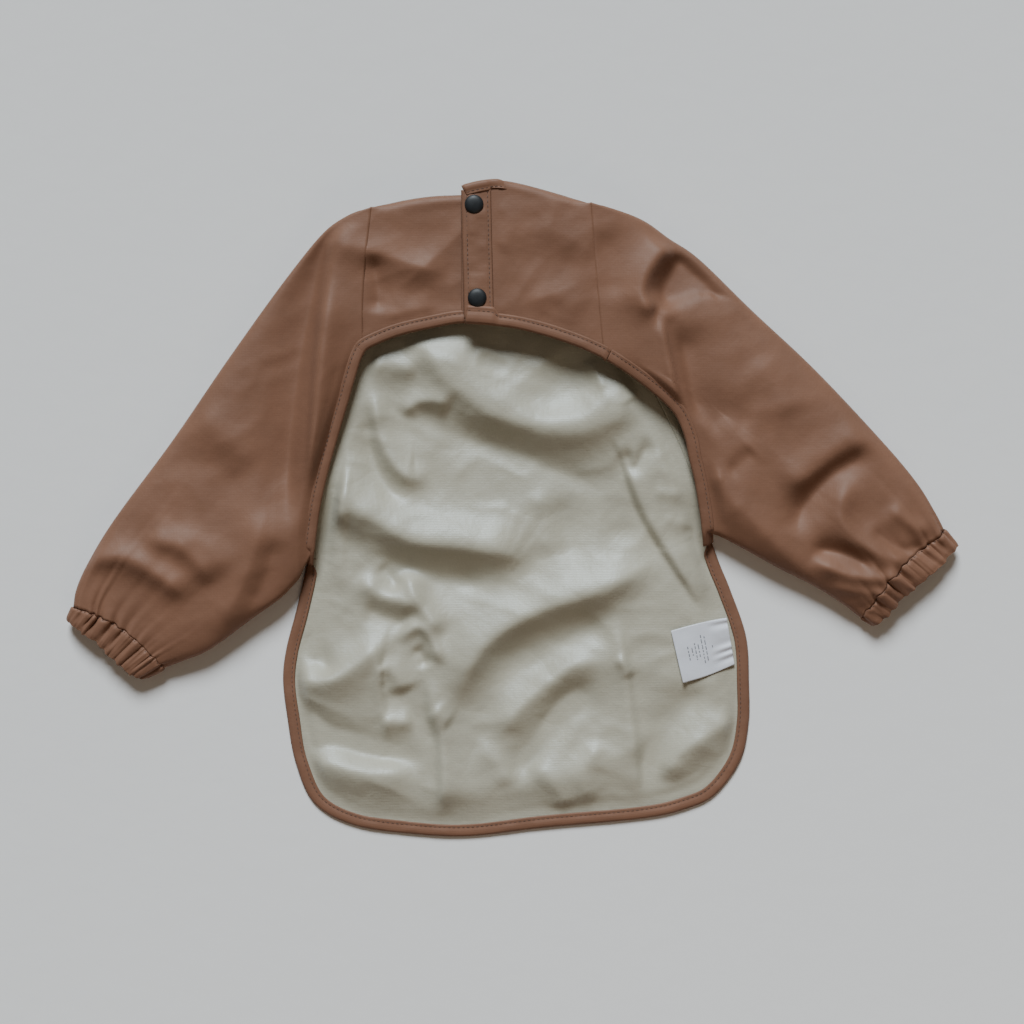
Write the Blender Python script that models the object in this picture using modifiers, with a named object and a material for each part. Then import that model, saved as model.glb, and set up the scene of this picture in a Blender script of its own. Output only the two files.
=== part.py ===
"""A long-sleeved baby bib, lying on its front with its back opening upwards.

Sizes are written in millimetres and turned into metres as the meshes are made.
+X runs from the left cuff to the right cuff, +Y from the hem to the neck, and
+Z upwards from the table that the bib lies on.
"""

import math

import bmesh
import bpy
from mathutils import Matrix, Vector

MM = 0.001

# ---------------------------------------------------------------- cloth (mm)
CLOTH = 0.8  # thickness given to the coated cloth
TAPE = 0.5  # thickness given to binding tape and facings
LEAF_OFFSET = 1.0  # from the middle of the cloth to the middle of each leaf of a folded tape
EDGE_INSET = 1.5  # from the outside of a tape's fold to the edge of the cloth inside it
GAP = 0.4  # clearance left between pieces that are sewn to each other
NECK_CORNER = 2.5  # the shoulders' corners at the neck are drawn back this far from the back panels
HEM_LEAF = 7.0  # width of each leaf of the tape round the hem and the back
ARCH_SIDE_LEAF = 5.0  # the same, where it runs down to the armpits
NECK_LEAF = 4.6  # the same, for the narrower tape at the neck
PLACKET_LEAF = 16.5  # width of each leaf of the plackets

# ---------------------------------------------------------------- heights (mm)
EDGE_Z = 1.25  # of the middle of the cloth, where its bound edge lies on the table
LOFT_Z = 7.4  # of the middle of the front panel, away from its edges
BORDER_FLAT = 9.6  # the front panel lies flat this far in from its edge
BORDER_RISE = 24.0  # and reaches its full height this far in
SLEEVE_BOTTOM_Z = 0.8
SLEEVE_HEIGHTS = (22.4, 22.4, 21.5, 19.5, 16.5, 14.0)  # from the fold line to the cuff
LEFT_BACK_Z = 18.4  # the left back panel is the underlap
RIGHT_BACK_Z = 24.5  # the right back panel laps over it
ARMPIT_Z = 12.0  # of the end of the arch
HINGE_RISE = 1.3  # from the middle of a back panel to the axis that it opens about

# ---------------------------------------------------------------- plan (mm)
# The front panel: its hem, its bound sides up to the armpits, its raglan seams and its neck.
HEM = [(-125.5, -186), (-100, -200), (-62, -205.5), (-27, -206.8), (20, -201.5), (84, -195.5),
       (112, -189), (129.5, -180)]
SIDE_LEFT = [(-125.5, -186), (-137.5, -160), (-143, -130), (-145.5, -107), (-143.5, -88),
             (-137.8, -66), (-133.4, -48), (-129, -27)]
SIDE_RIGHT = [(129.5, -180), (145, -159), (150.4, -135), (150.6, -110), (148.8, -80),
              (138.6, -50), (132, -34), (124, -12)]
RAGLAN_LEFT = [(-129, -27), (-119, 15), (-101, 86), (-78, 150)]
RAGLAN_RIGHT = [(124, -12), (110, 32), (78, 96), (40, 152)]
FRONT_NECK = [(-78, 150), (-60, 134), (-19, 122), (24, 134), (40, 152)]

# The arch, which is the bound lower edge of the back, and the seams of the back panels.
ARCH_SIDE_LEFT = [(-125.5, -18), (-121, 5), (-113.4, 32), (-102.7, 68), (-91, 97)]
ARCH_SIDE_RIGHT = [(120.5, -6), (117.5, 8), (108, 46), (97, 64.5), (77.8, 82), (57.5, 94.6)]
BACK_SEAM_LEFT = [(-91, 97), (-88, 190.5)]
BACK_SEAM_RIGHT = [(57.5, 94.6), (49, 192.6)]
ARCH_BACK_LEFT = [(-91, 97), (-70, 108), (-44, 115.4), (-31, 117.2), (-15, 117.2)]
ARCH_BACK_RIGHT = [(57.5, 94.6), (26.4, 106.4), (0.6, 114), (-16, 115.6), (-30.3, 116.4)]
TOP_BACK_LEFT = [(-88, 190.5), (-68, 195.2), (-33, 198.6), (-15, 200.5)]
TOP_BACK_RIGHT = [(49, 192.6), (30, 198.8), (5, 205.6), (-7.6, 207), (-20, 206), (-32.4, 203)]

# Each sleeve, from the line along which it folds over the back to its gathered cuff.
SLEEVE_LEFT_OUTER = [(-120, 173), (-143, 145), (-179, 95), (-214, 44), (-251, -6), (-270, -36), (-276.6, -61)]
SLEEVE_LEFT_UNDER = [(-134.5, -43), (-146, -55), (-164, -68), (-190, -87), (-206, -94), (-220, -99)]
SLEEVE_RIGHT_OUTER = [(99, 171), (118, 158), (151, 126), (191, 88.5), (233, 44), (263, 6.6), (273.4, -13)]
SLEEVE_RIGHT_UNDER = [(129, -15), (145, -24), (170, -40), (198, -56), (208, -63), (221, -68)]
CUFF_MOUTH_LEFT = ((-282.4, -72.5), (-234, -107))
CUFF_MOUTH_RIGHT = ((282.9, -23.5), (230.5, -73.6))

# The crumb pocket on the outside of the front.
POCKET_LEFT = [(-116, -177), (-127, -152), (-132, -127), (-133, -105)]
POCKET_HEM = [(-116, -177), (-97, -187), (-62, -192.5), (-27, -193.8), (20, -188.8), (84, -182.8),
              (108, -177), (121, -170)]
POCKET_RIGHT = [(121, -170), (133, -154), (137.5, -132), (137.5, -110), (134, -76)]
POCKET_HEM_WIDTH = 12.0

# The care label, sewn along its right edge: that edge and the free one, neck end first.
LABEL_SEWN = ((136, -68), (141, -97.5))
LABEL_FREE = ((100.4, -76), (108, -109))

# ---------------------------------------------------------------- cuffs (mm)
CUFF_LEAF_OFFSET = 1.4
ELASTIC_WIDTH = 6.0
ELASTIC_INSET = 2.4

# ---------------------------------------------------------------- snaps (mm)
SNAP_CENTRES = {"upper": (-23.7, 191.2), "lower": (-21.7, 132.8)}
CAP_HOLE = 1.9
STUD_HOLE = 1.6
SNAP_STEPS = 16
# Each profile is (radius, height above the middle of its own panel's cloth), from its top downwards.
CAP_PROFILE = [(0, 3.5), (2.6, 3.35), (4.8, 2.75), (5.8, 2.0), (5.9, 1.6), (1.5, 1.6), (1.5, -2.0), (0, -2.0)]
SOCKET_PROFILE = [(4.6, -1.55), (4.9, -2.2), (4.6, -3.5), (2.7, -3.5), (2.7, -2.3), (1.8, -2.2), (1.8, -1.55)]
STUD_PROFILE = [(2.0, 3.4), (2.3, 3.1), (2.1, 2.1), (4.6, 2.0), (4.7, 1.6), (1.5, 1.6), (1.5, 3.4)]
POST_PROFILE = [(0, 3.1), (1.15, 3.0), (1.2, -1.6), (4.8, -1.6), (4.9, -2.0), (4.4, -2.5), (0, -2.6)]

# ---------------------------------------------------------------- colours
TAN = (0.33, 0.165, 0.105, 1)
DARK_TAN = (0.26, 0.125, 0.08, 1)
CREAM = (0.62, 0.60, 0.53, 1)
BLACK = (0.012, 0.014, 0.016, 1)
WHITE = (0.80, 0.82, 0.88, 1)


# ---------------------------------------------------------------- lines
def evenly(dense, shares):
    """The points at the given shares of a polyline's length."""
    lengths = [0.0]
    for a, b in zip(dense, dense[1:]):
        lengths.append(lengths[-1] + (b - a).length)
    found = []
    segment = 0
    for share in shares:
        goal = share * lengths[-1]
        while segment < len(dense) - 2 and lengths[segment + 1] < goal:
            segment += 1
        span = lengths[segment + 1] - lengths[segment]
        found.append(dense[segment].lerp(dense[segment + 1], (goal - lengths[segment]) / span))
    return found


def even_shares(count):
    return [i / (count - 1) for i in range(count)]


def smooth(points, count=60):
    """Points spaced evenly along a smooth curve through the given ones."""
    knots = [Vector(p) for p in points]
    ends = [2 * knots[0] - knots[1], *knots, 2 * knots[-1] - knots[-2]]
    dense = []
    for a, b, c, d in zip(ends, ends[1:], ends[2:], ends[3:]):
        for i in range(12):
            t = i / 12
            bend = (2 * a - 5 * b + 4 * c - d) * t**2 + (3 * b - a - 3 * c + d) * t**3
            dense.append(0.5 * (2 * b + (c - a) * t + bend))
    dense.append(knots[-1])
    return evenly(dense, even_shares(count))


def inset(line, distance):
    """A line in plan, moved to its left by a distance."""
    moved = []
    for i, point in enumerate(line):
        step = line[min(i + 1, len(line) - 1)] - line[max(i - 1, 0)]
        moved.append(point + Vector((-step.y, step.x)).normalized() * distance)
    return moved


def distance_to(point, line):
    best = 1e9
    for a, b in zip(line, line[1:]):
        step = b - a
        share = max(0.0, min(1.0, (point - a).dot(step) / step.length_squared))
        best = min(best, (point - a - step * share).length)
    return best


def lifted(line, start, end=None):
    """A line in plan, given a height that changes evenly from its start to its end."""
    end = start if end is None else end
    last = len(line) - 1
    return [Vector((p.x, p.y, start + (end - start) * i / last)) for i, p in enumerate(line)]


def margin_shares(length, low, high, steps):
    """Shares of a length: some margins in from each end, in millimetres, and even steps between them."""
    first = [0.0] + [m / length for m in low]
    last = [1 - m / length for m in reversed(high)] + [1.0]
    middle = [first[-1] + (last[0] - first[-1]) * i / steps for i in range(1, steps)]
    return first + middle + last


def patch(left, right, bottom, top, columns, rows):
    """A Coons patch between four lines, as rows of points from bottom to top."""
    left, right = evenly(left, rows), evenly(right, rows)
    bottom, top = evenly(bottom, columns), evenly(top, columns)
    grid = []
    for j, v in enumerate(rows):
        row = []
        for i, u in enumerate(columns):
            ruled = bottom[i].lerp(top[i], v) + left[j].lerp(right[j], u)
            corners = bottom[0].lerp(bottom[-1], u).lerp(top[0].lerp(top[-1], u), v)
            row.append(ruled - corners)
        grid.append(row)
    return grid


# ---------------------------------------------------------------- objects
def new_collection(name):
    made = bpy.data.collections.new(name)
    bpy.context.scene.collection.children.link(made)
    return made


def finish(name, colour, roughness):
    made = bpy.data.materials.new(name)
    made.use_nodes = True
    shader = made.node_tree.nodes["Principled BSDF"]
    shader.inputs["Base Color"].default_value = colour
    shader.inputs["Roughness"].default_value = roughness
    return made


def add(name, mesh, collection, material=None):
    thing = bpy.data.objects.new(name, mesh)
    collection.objects.link(thing)
    if material:
        mesh.materials.append(material)
    mesh.shade_smooth()
    return thing


def sheet(name, rows, thickness, look, closed=False, even=True):
    """Cloth of a thickness through a grid of points. closed joins each row's ends.

    even keeps the thickness at folds, which a rim with a sharp corner can't take.
    """
    collection, colour, roughness = look
    columns = len(rows[0])
    across = columns if closed else columns - 1
    bm = bmesh.new()
    bmesh.ops.create_grid(bm, x_segments=across, y_segments=len(rows) - 1, size=1)
    bm.verts.ensure_lookup_table()
    for index, vert in enumerate(bm.verts):
        row, column = divmod(index, across + 1)
        vert.co = rows[row][column % columns] * MM
    if closed:
        bmesh.ops.remove_doubles(bm, verts=bm.verts, dist=1e-6)
    mesh = bpy.data.meshes.new(name)
    bm.to_mesh(mesh)
    bm.free()
    cloth = add(name, mesh, collection, finish(name, colour, roughness))
    solidify = cloth.modifiers.new("cloth", "SOLIDIFY")
    solidify.thickness = thickness * MM
    solidify.offset = 0
    solidify.use_even_offset = even
    return cloth


def folded_tape(name, edge, inner, leaf, look):
    """A tape folded over a cloth's edge. inner follows the edge, on the cloth, further in."""
    profile = [
        (leaf - TAPE / 2, LEAF_OFFSET),
        (0.7, LEAF_OFFSET),
        (0.0, 0.0),
        (0.7, -LEAF_OFFSET),
        (leaf - TAPE / 2, -LEAF_OFFSET),
    ]
    rows = []
    for i, point in enumerate(edge):
        run = (edge[min(i + 1, len(edge) - 1)] - edge[max(i - 1, 0)]).normalized()
        inward = inner[i] - point
        if 0 < i < len(edge) - 1:
            inward -= run * inward.dot(run)
        inward.normalize()
        up = run.cross(inward).normalized()
        fold = point - inward * (EDGE_INSET - TAPE / 2)
        rows.append([fold + inward * across + up * height for across, height in profile])
    return sheet(name, rows, TAPE, look)


def turned(name, profile, base, loop, look):
    """A turned piece from a profile of (radius, height). loop joins the profile's ends."""
    collection, colour, roughness = look
    points = [(radius * MM, 0, height * MM) for radius, height in profile]
    edges = [(i, i + 1) for i in range(len(points) - 1)]
    if loop:
        edges.append((len(points) - 1, 0))
    mesh = bpy.data.meshes.new(name)
    mesh.from_pydata(points, edges, [])
    piece = add(name, mesh, collection, finish(name, colour, roughness))
    piece.location = base * MM
    screw = piece.modifiers.new("turn", "SCREW")
    screw.steps = screw.render_steps = SNAP_STEPS
    screw.use_merge_vertices = True
    screw.merge_threshold = 1e-5
    screw.use_smooth_shade = True
    return piece


def punch(piece, radius, height, cutters):
    """Punches the holes for the snaps' posts through a panel or a placket."""
    for which, (x, y) in SNAP_CENTRES.items():
        name = f"punch_{piece.name}_{which}"
        bm = bmesh.new()
        bmesh.ops.create_cone(bm, cap_ends=True, segments=10, radius1=radius * MM, radius2=radius * MM, depth=4 * MM)
        mesh = bpy.data.meshes.new(name)
        bm.to_mesh(mesh)
        bm.free()
        cutter = add(name, mesh, cutters)
        cutter.location = (x * MM, y * MM, height * MM)
        cutter.hide_render = True
        cutter.display_type = "WIRE"
        cut = piece.modifiers.new(f"punch_{which}", "BOOLEAN")
        cut.operation = "DIFFERENCE"
        cut.solver = "EXACT"
        cut.object = cutter


def hang(pieces, name, origin, collection):
    """Hangs pieces on an empty that stands on their joint's axis."""
    axis = bpy.data.objects.new(name, None)
    collection.objects.link(axis)
    axis.location = origin * MM
    for piece in pieces:
        piece.parent = axis
        piece.matrix_parent_inverse = Matrix.Translation(-axis.location)


# ---------------------------------------------------------------- front
def loft_height(point, outline):
    """The height of the middle of the front panel: low along its edge, lifted inside."""
    rise = (distance_to(point, outline) - BORDER_FLAT) / (BORDER_RISE - BORDER_FLAT)
    rise = max(0.0, min(1.0, rise))
    return EDGE_Z + (LOFT_Z - EDGE_Z) * rise * rise * (3 - 2 * rise)


def front_lines():
    """The front panel's left, right, hem and neck lines, at the edge of its cloth."""
    left = inset(smooth(SIDE_LEFT), -EDGE_INSET) + inset(smooth(RAGLAN_LEFT), -GAP)[1:]
    right = inset(smooth(SIDE_RIGHT), EDGE_INSET) + inset(smooth(RAGLAN_RIGHT), GAP)[1:]
    hem = inset(smooth(HEM), EDGE_INSET)
    left[0] = hem[0] = (left[0] + hem[0]) / 2
    right[0] = hem[-1] = (right[0] + hem[-1]) / 2
    neck = smooth(FRONT_NECK)
    neck[0], neck[-1] = left[-1], right[-1]
    return left, right, hem, neck


def front_outline():
    sides = [list(reversed(smooth(RAGLAN_LEFT, 12))), list(reversed(smooth(SIDE_LEFT, 20)))]
    sides += [smooth(HEM, 24), smooth(SIDE_RIGHT, 20), smooth(RAGLAN_RIGHT, 12)]
    return [point for line in sides for point in line if line is sides[0] or point is not line[0]]


def make_front(outside, binding):
    left, right, hem, neck = front_lines()
    outline = front_outline()
    columns = margin_shares(275, [9, 16, 24], [9, 16, 24], 7)
    rows = margin_shares(350, [9, 16, 24], [10], 15)
    grid = patch(left, right, hem, neck, columns, rows)
    grid = [[Vector((p.x, p.y, loft_height(p, outline))) for p in row] for row in grid]
    sheet("front_panel", grid, CLOTH, outside)
    folded_tape("front_neck_binding", grid[-1][3:-3], grid[-2][3:-3], NECK_LEAF, binding)
    low_left = [row for row in grid if row[0].y < SIDE_LEFT[-1][1]]
    low_right = [row for row in grid if row[-1].y < SIDE_RIGHT[-1][1]]
    edge = [row[0] for row in reversed(low_left)] + grid[0][1:-1] + [row[-1] for row in low_right]
    inner = [row[1] for row in reversed(low_left[1:])] + [grid[1][1]]
    inner += grid[1][1:-1] + [grid[1][-2]] + [row[-2] for row in low_right[1:]]
    folded_tape("hem_binding", edge, inner, HEM_LEAF, binding)
    return outline


def make_pocket(outside):
    columns = even_shares(14)
    rows = even_shares(7)
    mouth = [Vector(POCKET_LEFT[-1]).lerp(Vector(POCKET_RIGHT[-1]), i / 20) for i in range(21)]
    grid = patch(smooth(POCKET_LEFT), smooth(POCKET_RIGHT), smooth(POCKET_HEM), mouth, columns, rows)
    sheet("front_pocket", [lifted(row, CLOTH / 2) for row in grid], CLOTH, outside)
    top = evenly(mouth, [0.02 + 0.96 * s for s in even_shares(9)])
    low = inset(top, -POCKET_HEM_WIDTH)
    height = CLOTH + GAP + TAPE / 2
    sheet("pocket_hem", [lifted(low, height), lifted(inset(top, -GAP), height)], TAPE, outside)


def make_label(outline, white):
    rows = []
    for j in range(5):
        sewn = Vector(LABEL_SEWN[0]).lerp(Vector(LABEL_SEWN[1]), j / 4)
        free = Vector(LABEL_FREE[0]).lerp(Vector(LABEL_FREE[1]), j / 4)
        line = [free.lerp(sewn, i / 6) for i in range(7)]
        rows.append([Vector((p.x, p.y, loft_height(p, outline) + 1.3)) for p in line])
    label = sheet("care_label", rows, TAPE, white)
    hang([label], "care_label_hinge", Vector((*LABEL_SEWN[0], 3.1)), white[0])


# ---------------------------------------------------------------- sleeves
def squashed_loop(outer, under, bottom, height, grow, count):
    """A closed section standing over the line from outer to under, with full rounded ends."""
    middle = (outer + under) / 2
    half = (outer - under) / 2
    reach = half.length + grow
    rise = height / 2 + grow
    points = []
    for i in range(count):
        angle = math.tau * (i + 0.5) / count
        across = math.copysign(abs(math.cos(angle)) ** 0.5, math.cos(angle)) * reach
        up = math.copysign(abs(math.sin(angle)) ** 0.5, math.sin(angle)) * rise
        plan = middle + half.normalized() * across
        points.append(Vector((plan.x, plan.y, bottom + height / 2 + up)))
    return points


def sleeve_stations(outer_line, under_line):
    """The ends of each section of a sleeve and its height, with the first a gap away from the fold."""
    count = len(SLEEVE_HEIGHTS) + 2
    outer = evenly(smooth(outer_line), even_shares(count))
    under = evenly(smooth(under_line), even_shares(count))
    first = (outer[0] - under[0]).normalized()
    away = Vector((-first.y, first.x))
    if away.dot(outer[1] - outer[0]) < 0:
        away = -away
    outer[0] = outer[0] + away * GAP
    under[0] = under[0] + away * GAP
    stations = []
    for i in range(count):
        place = i / (count - 1) * (len(SLEEVE_HEIGHTS) - 1)
        low = min(int(place), len(SLEEVE_HEIGHTS) - 2)
        height = SLEEVE_HEIGHTS[low] + (SLEEVE_HEIGHTS[low + 1] - SLEEVE_HEIGHTS[low]) * (place - low)
        stations.append((outer[i], under[i], height))
    return stations


def make_sleeve(side, outer_line, under_line, mouth, outside, elastic):
    around = 22
    stations = sleeve_stations(outer_line, under_line)
    rows = [squashed_loop(o, u, SLEEVE_BOTTOM_Z, h, 0, around) for o, u, h in stations]
    tube = sheet(f"{side}_sleeve", rows, CLOTH, outside, closed=True)
    outer, under, height = stations[-1]
    far_outer, far_under = Vector(mouth[0]), Vector(mouth[1])
    depth = ((far_outer - outer).length + (far_under - under).length) / 2
    bottom = SLEEVE_BOTTOM_Z + CUFF_LEAF_OFFSET
    height -= 2 * CUFF_LEAF_OFFSET

    def ring(along, grow):
        share = along / depth
        return squashed_loop(outer.lerp(far_outer, share), under.lerp(far_under, share), bottom, height, grow, around)

    near = CLOTH / 2 + GAP + 0.6
    fold = depth - 1.0
    leaf = CUFF_LEAF_OFFSET
    rows = [ring(near, leaf), ring(fold, leaf), ring(depth, 0), ring(fold, -leaf), ring(near, -leaf)]
    cuff = sheet(f"{side}_cuff", rows, CLOTH, outside, closed=True)
    rows = [ring(ELASTIC_INSET, 0), ring(ELASTIC_INSET + ELASTIC_WIDTH, 0)]
    band = sheet(f"{side}_cuff_elastic", rows, CLOTH, elastic, closed=True)
    axis = Vector((*outer_line[0], SLEEVE_BOTTOM_Z + SLEEVE_HEIGHTS[0] + CLOTH))
    hang([tube, cuff, band], f"{side}_sleeve_hinge", axis, outside[0])


def shoulder_rim(side, arch_side, seam, raglan, back_z):
    """The inner rim of a shoulder: up the arch and the back seam, and down the front seam."""
    turn = 1 if side == "left" else -1
    arch = inset(smooth(arch_side), turn * EDGE_INSET)
    join = inset(smooth(seam), turn * GAP)
    front = inset(smooth(raglan), turn * GAP)
    climb = lifted(arch, ARMPIT_Z, back_z) + lifted(join, back_z)[1:]
    climb[-1] += Vector((-turn * NECK_CORNER, 0, 0))
    descent = [climb[-1]] + lifted(list(reversed(front)), EDGE_Z)
    return climb, descent, arch[-1].y


def facing_shares(line, start, end, corner_y):
    """Shares of the fold line, from start to end, that face each point of a rim, up to its corner."""
    run = (end - start).normalized()
    reached = [(p.to_2d() - start).dot(run) for p in line]
    corner = [p.y >= corner_y for p in line].index(True)
    turn = reached[corner] / (end - start).length
    shares = []
    for i, far in enumerate(reached):
        if i <= corner:
            shares.append(turn * (far - reached[0]) / (reached[corner] - reached[0]))
        else:
            shares.append(turn + (1 - turn) * (far - reached[corner]) / (reached[-1] - reached[corner]))
    return shares


def make_shoulder(side, outer_line, under_line, rim, outside, binding):
    """The head of a raglan sleeve: a cape from the fold line to the arch, the back and the front."""
    half = 16
    outer, under = Vector(outer_line[0]), Vector(under_line[0])
    fold = squashed_loop(outer, under, SLEEVE_BOTTOM_Z, SLEEVE_HEIGHTS[0], 0, 44)
    climb, descent, corner_y = rim
    top = evenly(climb, even_shares(half))
    upper = evenly(fold[20::-1], facing_shares(top, under, outer, corner_y - 1))
    lower = evenly(fold[:22:-1], even_shares(half))
    inner = top + evenly(descent, [(i + 1) / half for i in range(half)])
    rows = [[a.lerp(b, j / 5) for j in range(6)] for a, b in zip(upper + lower, inner)]
    sheet(f"{side}_shoulder", rows, CLOTH, outside, even=False)
    bound = [row for row in rows[1:half] if row[-1].y < corner_y]
    edge = [row[-1] for row in bound]
    folded_tape(f"{side}_arch_side_binding", edge, [row[-2] for row in bound], ARCH_SIDE_LEAF, binding)


# ---------------------------------------------------------------- back
def make_back(side, seam, arch, top, height, outside, binding, cutters):
    """A back panel with the tapes along its neck and its arch and its placket. Returns the pieces."""
    turn = 1 if side == "left" else -1
    join = inset(smooth(seam), -turn * GAP)
    low = inset(smooth(arch), turn * EDGE_INSET)
    high = inset(smooth(top), -turn * EDGE_INSET)
    inwards = Vector((-turn * EDGE_INSET, 0))
    low[0], high[0] = join[0], join[-1]
    low[-1], high[-1] = low[-1] + inwards, high[-1] + inwards
    centre = [low[-1], high[-1]]
    columns = margin_shares(76, [], [PLACKET_LEAF], 7)
    rows = margin_shares(88, [HEM_LEAF], [NECK_LEAF], 5)
    grid = [lifted(row, height) for row in patch(join, centre, low, high, columns, rows)]
    panel = sheet(f"{side}_back_panel", grid, CLOTH, outside)
    arch_tape = folded_tape(f"{side}_arch_binding", grid[0], grid[1], HEM_LEAF, binding)
    neck_tape = folded_tape(f"{side}_neck_binding", grid[-1], grid[-2], NECK_LEAF, binding)
    edge = [row[-1] for row in grid]
    inner = [row[-2] for row in grid]
    length = (edge[-1] - edge[0]).length
    ends = [HEM_LEAF / length, 1 - NECK_LEAF / length]
    spread = [ends[0] + (ends[1] - ends[0]) * s for s in even_shares(6)]
    placket = folded_tape(f"{side}_placket", evenly(edge, spread), evenly(inner, spread), PLACKET_LEAF, outside)
    hole = CAP_HOLE if side == "right" else STUD_HOLE
    for piece in (panel, placket):
        punch(piece, hole, height, cutters)
    return [panel, placket, arch_tape, neck_tape]


def make_snaps(collection):
    """Two snap fasteners, open-ended turned pieces riveted through the plackets."""
    dark = (collection, BLACK, 0.55)
    on_right, on_left = [], []
    for which, (x, y) in SNAP_CENTRES.items():
        over = Vector((x, y, RIGHT_BACK_Z))
        under = Vector((x, y, LEFT_BACK_Z))
        on_right.append(turned(f"{which}_snap_cap", CAP_PROFILE, over, False, dark))
        on_right.append(turned(f"{which}_snap_socket", SOCKET_PROFILE, over, True, dark))
        on_left.append(turned(f"{which}_snap_stud", STUD_PROFILE, under, True, dark))
        on_left.append(turned(f"{which}_snap_post", POST_PROFILE, under, False, dark))
    return on_right, on_left


def main():
    for thing in list(bpy.data.objects):
        bpy.data.objects.remove(thing)
    bib = new_collection("sleeved_bib")
    cutters = new_collection("cutters")
    outside = (bib, TAN, 0.5)
    binding = (bib, DARK_TAN, 0.6)
    elastic = (bib, CREAM, 0.8)
    outline = make_front(outside, binding)
    make_pocket(outside)
    make_label(outline, (bib, WHITE, 0.6))
    make_sleeve("left", SLEEVE_LEFT_OUTER, SLEEVE_LEFT_UNDER, CUFF_MOUTH_LEFT, outside, elastic)
    make_sleeve("right", SLEEVE_RIGHT_OUTER, SLEEVE_RIGHT_UNDER, CUFF_MOUTH_RIGHT, outside, elastic)
    rim = shoulder_rim("left", ARCH_SIDE_LEFT, BACK_SEAM_LEFT, RAGLAN_LEFT, LEFT_BACK_Z)
    make_shoulder("left", SLEEVE_LEFT_OUTER, SLEEVE_LEFT_UNDER, rim, outside, binding)
    rim = shoulder_rim("right", ARCH_SIDE_RIGHT, BACK_SEAM_RIGHT, RAGLAN_RIGHT, RIGHT_BACK_Z)
    make_shoulder("right", SLEEVE_RIGHT_OUTER, SLEEVE_RIGHT_UNDER, rim, outside, binding)
    left = make_back(
        "left", BACK_SEAM_LEFT, ARCH_BACK_LEFT, TOP_BACK_LEFT, LEFT_BACK_Z, outside, binding, cutters
    )
    right = make_back(
        "right", BACK_SEAM_RIGHT, ARCH_BACK_RIGHT, TOP_BACK_RIGHT, RIGHT_BACK_Z, outside, binding, cutters
    )
    on_right, on_left = make_snaps(bib)
    hang(left + on_left, "left_back_hinge", Vector((*BACK_SEAM_LEFT[0], LEFT_BACK_Z + HINGE_RISE)), bib)
    hang(right + on_right, "right_back_hinge", Vector((*BACK_SEAM_RIGHT[0], RIGHT_BACK_Z + HINGE_RISE)), bib)


main()
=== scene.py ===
"""The looks of a long-sleeved baby bib that lies on its front, with its back opening upwards.

Sizes are written in millimetres, in the frame's axes: +X towards the right cuff, +Y towards the neck, +Z up.
"""

import math

import bmesh
import bpy
import numpy as np
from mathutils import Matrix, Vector


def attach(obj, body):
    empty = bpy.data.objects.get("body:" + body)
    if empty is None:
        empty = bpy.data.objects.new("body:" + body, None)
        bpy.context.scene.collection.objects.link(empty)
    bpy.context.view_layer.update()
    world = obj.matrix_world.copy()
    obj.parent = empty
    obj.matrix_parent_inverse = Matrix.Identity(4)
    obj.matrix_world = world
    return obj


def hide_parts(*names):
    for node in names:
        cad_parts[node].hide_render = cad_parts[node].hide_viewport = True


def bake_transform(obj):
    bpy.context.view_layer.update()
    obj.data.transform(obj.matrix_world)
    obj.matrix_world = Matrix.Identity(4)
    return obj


MM = 0.001
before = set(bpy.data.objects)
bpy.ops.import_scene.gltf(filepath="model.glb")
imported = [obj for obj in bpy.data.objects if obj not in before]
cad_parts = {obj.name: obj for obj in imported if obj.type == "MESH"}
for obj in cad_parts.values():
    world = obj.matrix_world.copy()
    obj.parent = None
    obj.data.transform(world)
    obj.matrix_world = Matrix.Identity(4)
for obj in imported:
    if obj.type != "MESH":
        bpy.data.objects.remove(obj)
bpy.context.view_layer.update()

# ---------------------------------------------------------------- outlines (mm), as in the CAD model
HEM = [(-125.5, -186), (-100, -200), (-62, -205.5), (-27, -206.8), (20, -201.5), (84, -195.5),
       (112, -189), (129.5, -180)]
SIDE_LEFT = [(-125.5, -186), (-137.5, -160), (-143, -130), (-145.5, -107), (-143.5, -88),
             (-137.8, -66), (-133.4, -48), (-129, -27)]
SIDE_RIGHT = [(129.5, -180), (145, -159), (150.4, -135), (150.6, -110), (148.8, -80),
              (138.6, -50), (132, -34), (124, -12)]
RAGLAN_LEFT = [(-129, -27), (-119, 15), (-101, 86), (-78, 150)]
RAGLAN_RIGHT = [(124, -12), (110, 32), (78, 96), (40, 152)]
FRONT_NECK = [(-78, 150), (-60, 134), (-19, 122), (24, 134), (40, 152)]
ARCH_SIDE_LEFT = [(-124.5, -27), (-120.5, 2), (-113.4, 32), (-102.7, 68), (-96, 91), (-93.2, 98)]
ARCH_SIDE_RIGHT = [(119.8, -15), (118.2, -2), (114.8, 18), (111, 33), (108.3, 46), (102.3, 59.6), (93, 69.4),
                   (82.5, 78), (70, 87), (57.5, 94.6)]
BACK_SEAM_LEFT = [(-93.2, 98), (-93, 140), (-88, 190.5)]
BACK_SEAM_RIGHT = [(57.5, 94.6), (54, 130), (49, 192.6)]
ARCH_BACK_LEFT = [(-93.2, 98), (-88.5, 102), (-70, 109.5), (-44, 115.4), (-31, 117.2), (-15, 117.2)]
ARCH_BACK_RIGHT = [(57.5, 94.6), (42, 101.5), (26.4, 107), (14, 110.6), (0.6, 113.6), (-16, 115.6), (-30.3, 116.4)]
TOP_BACK_LEFT = [(-88, 190.5), (-68, 195.2), (-50, 197.8), (-33, 198.6), (-15, 199.5)]
TOP_BACK_RIGHT = [(49, 192.6), (30, 198.8), (5, 205.6), (-7.6, 207), (-20, 206), (-32.4, 203)]
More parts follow.
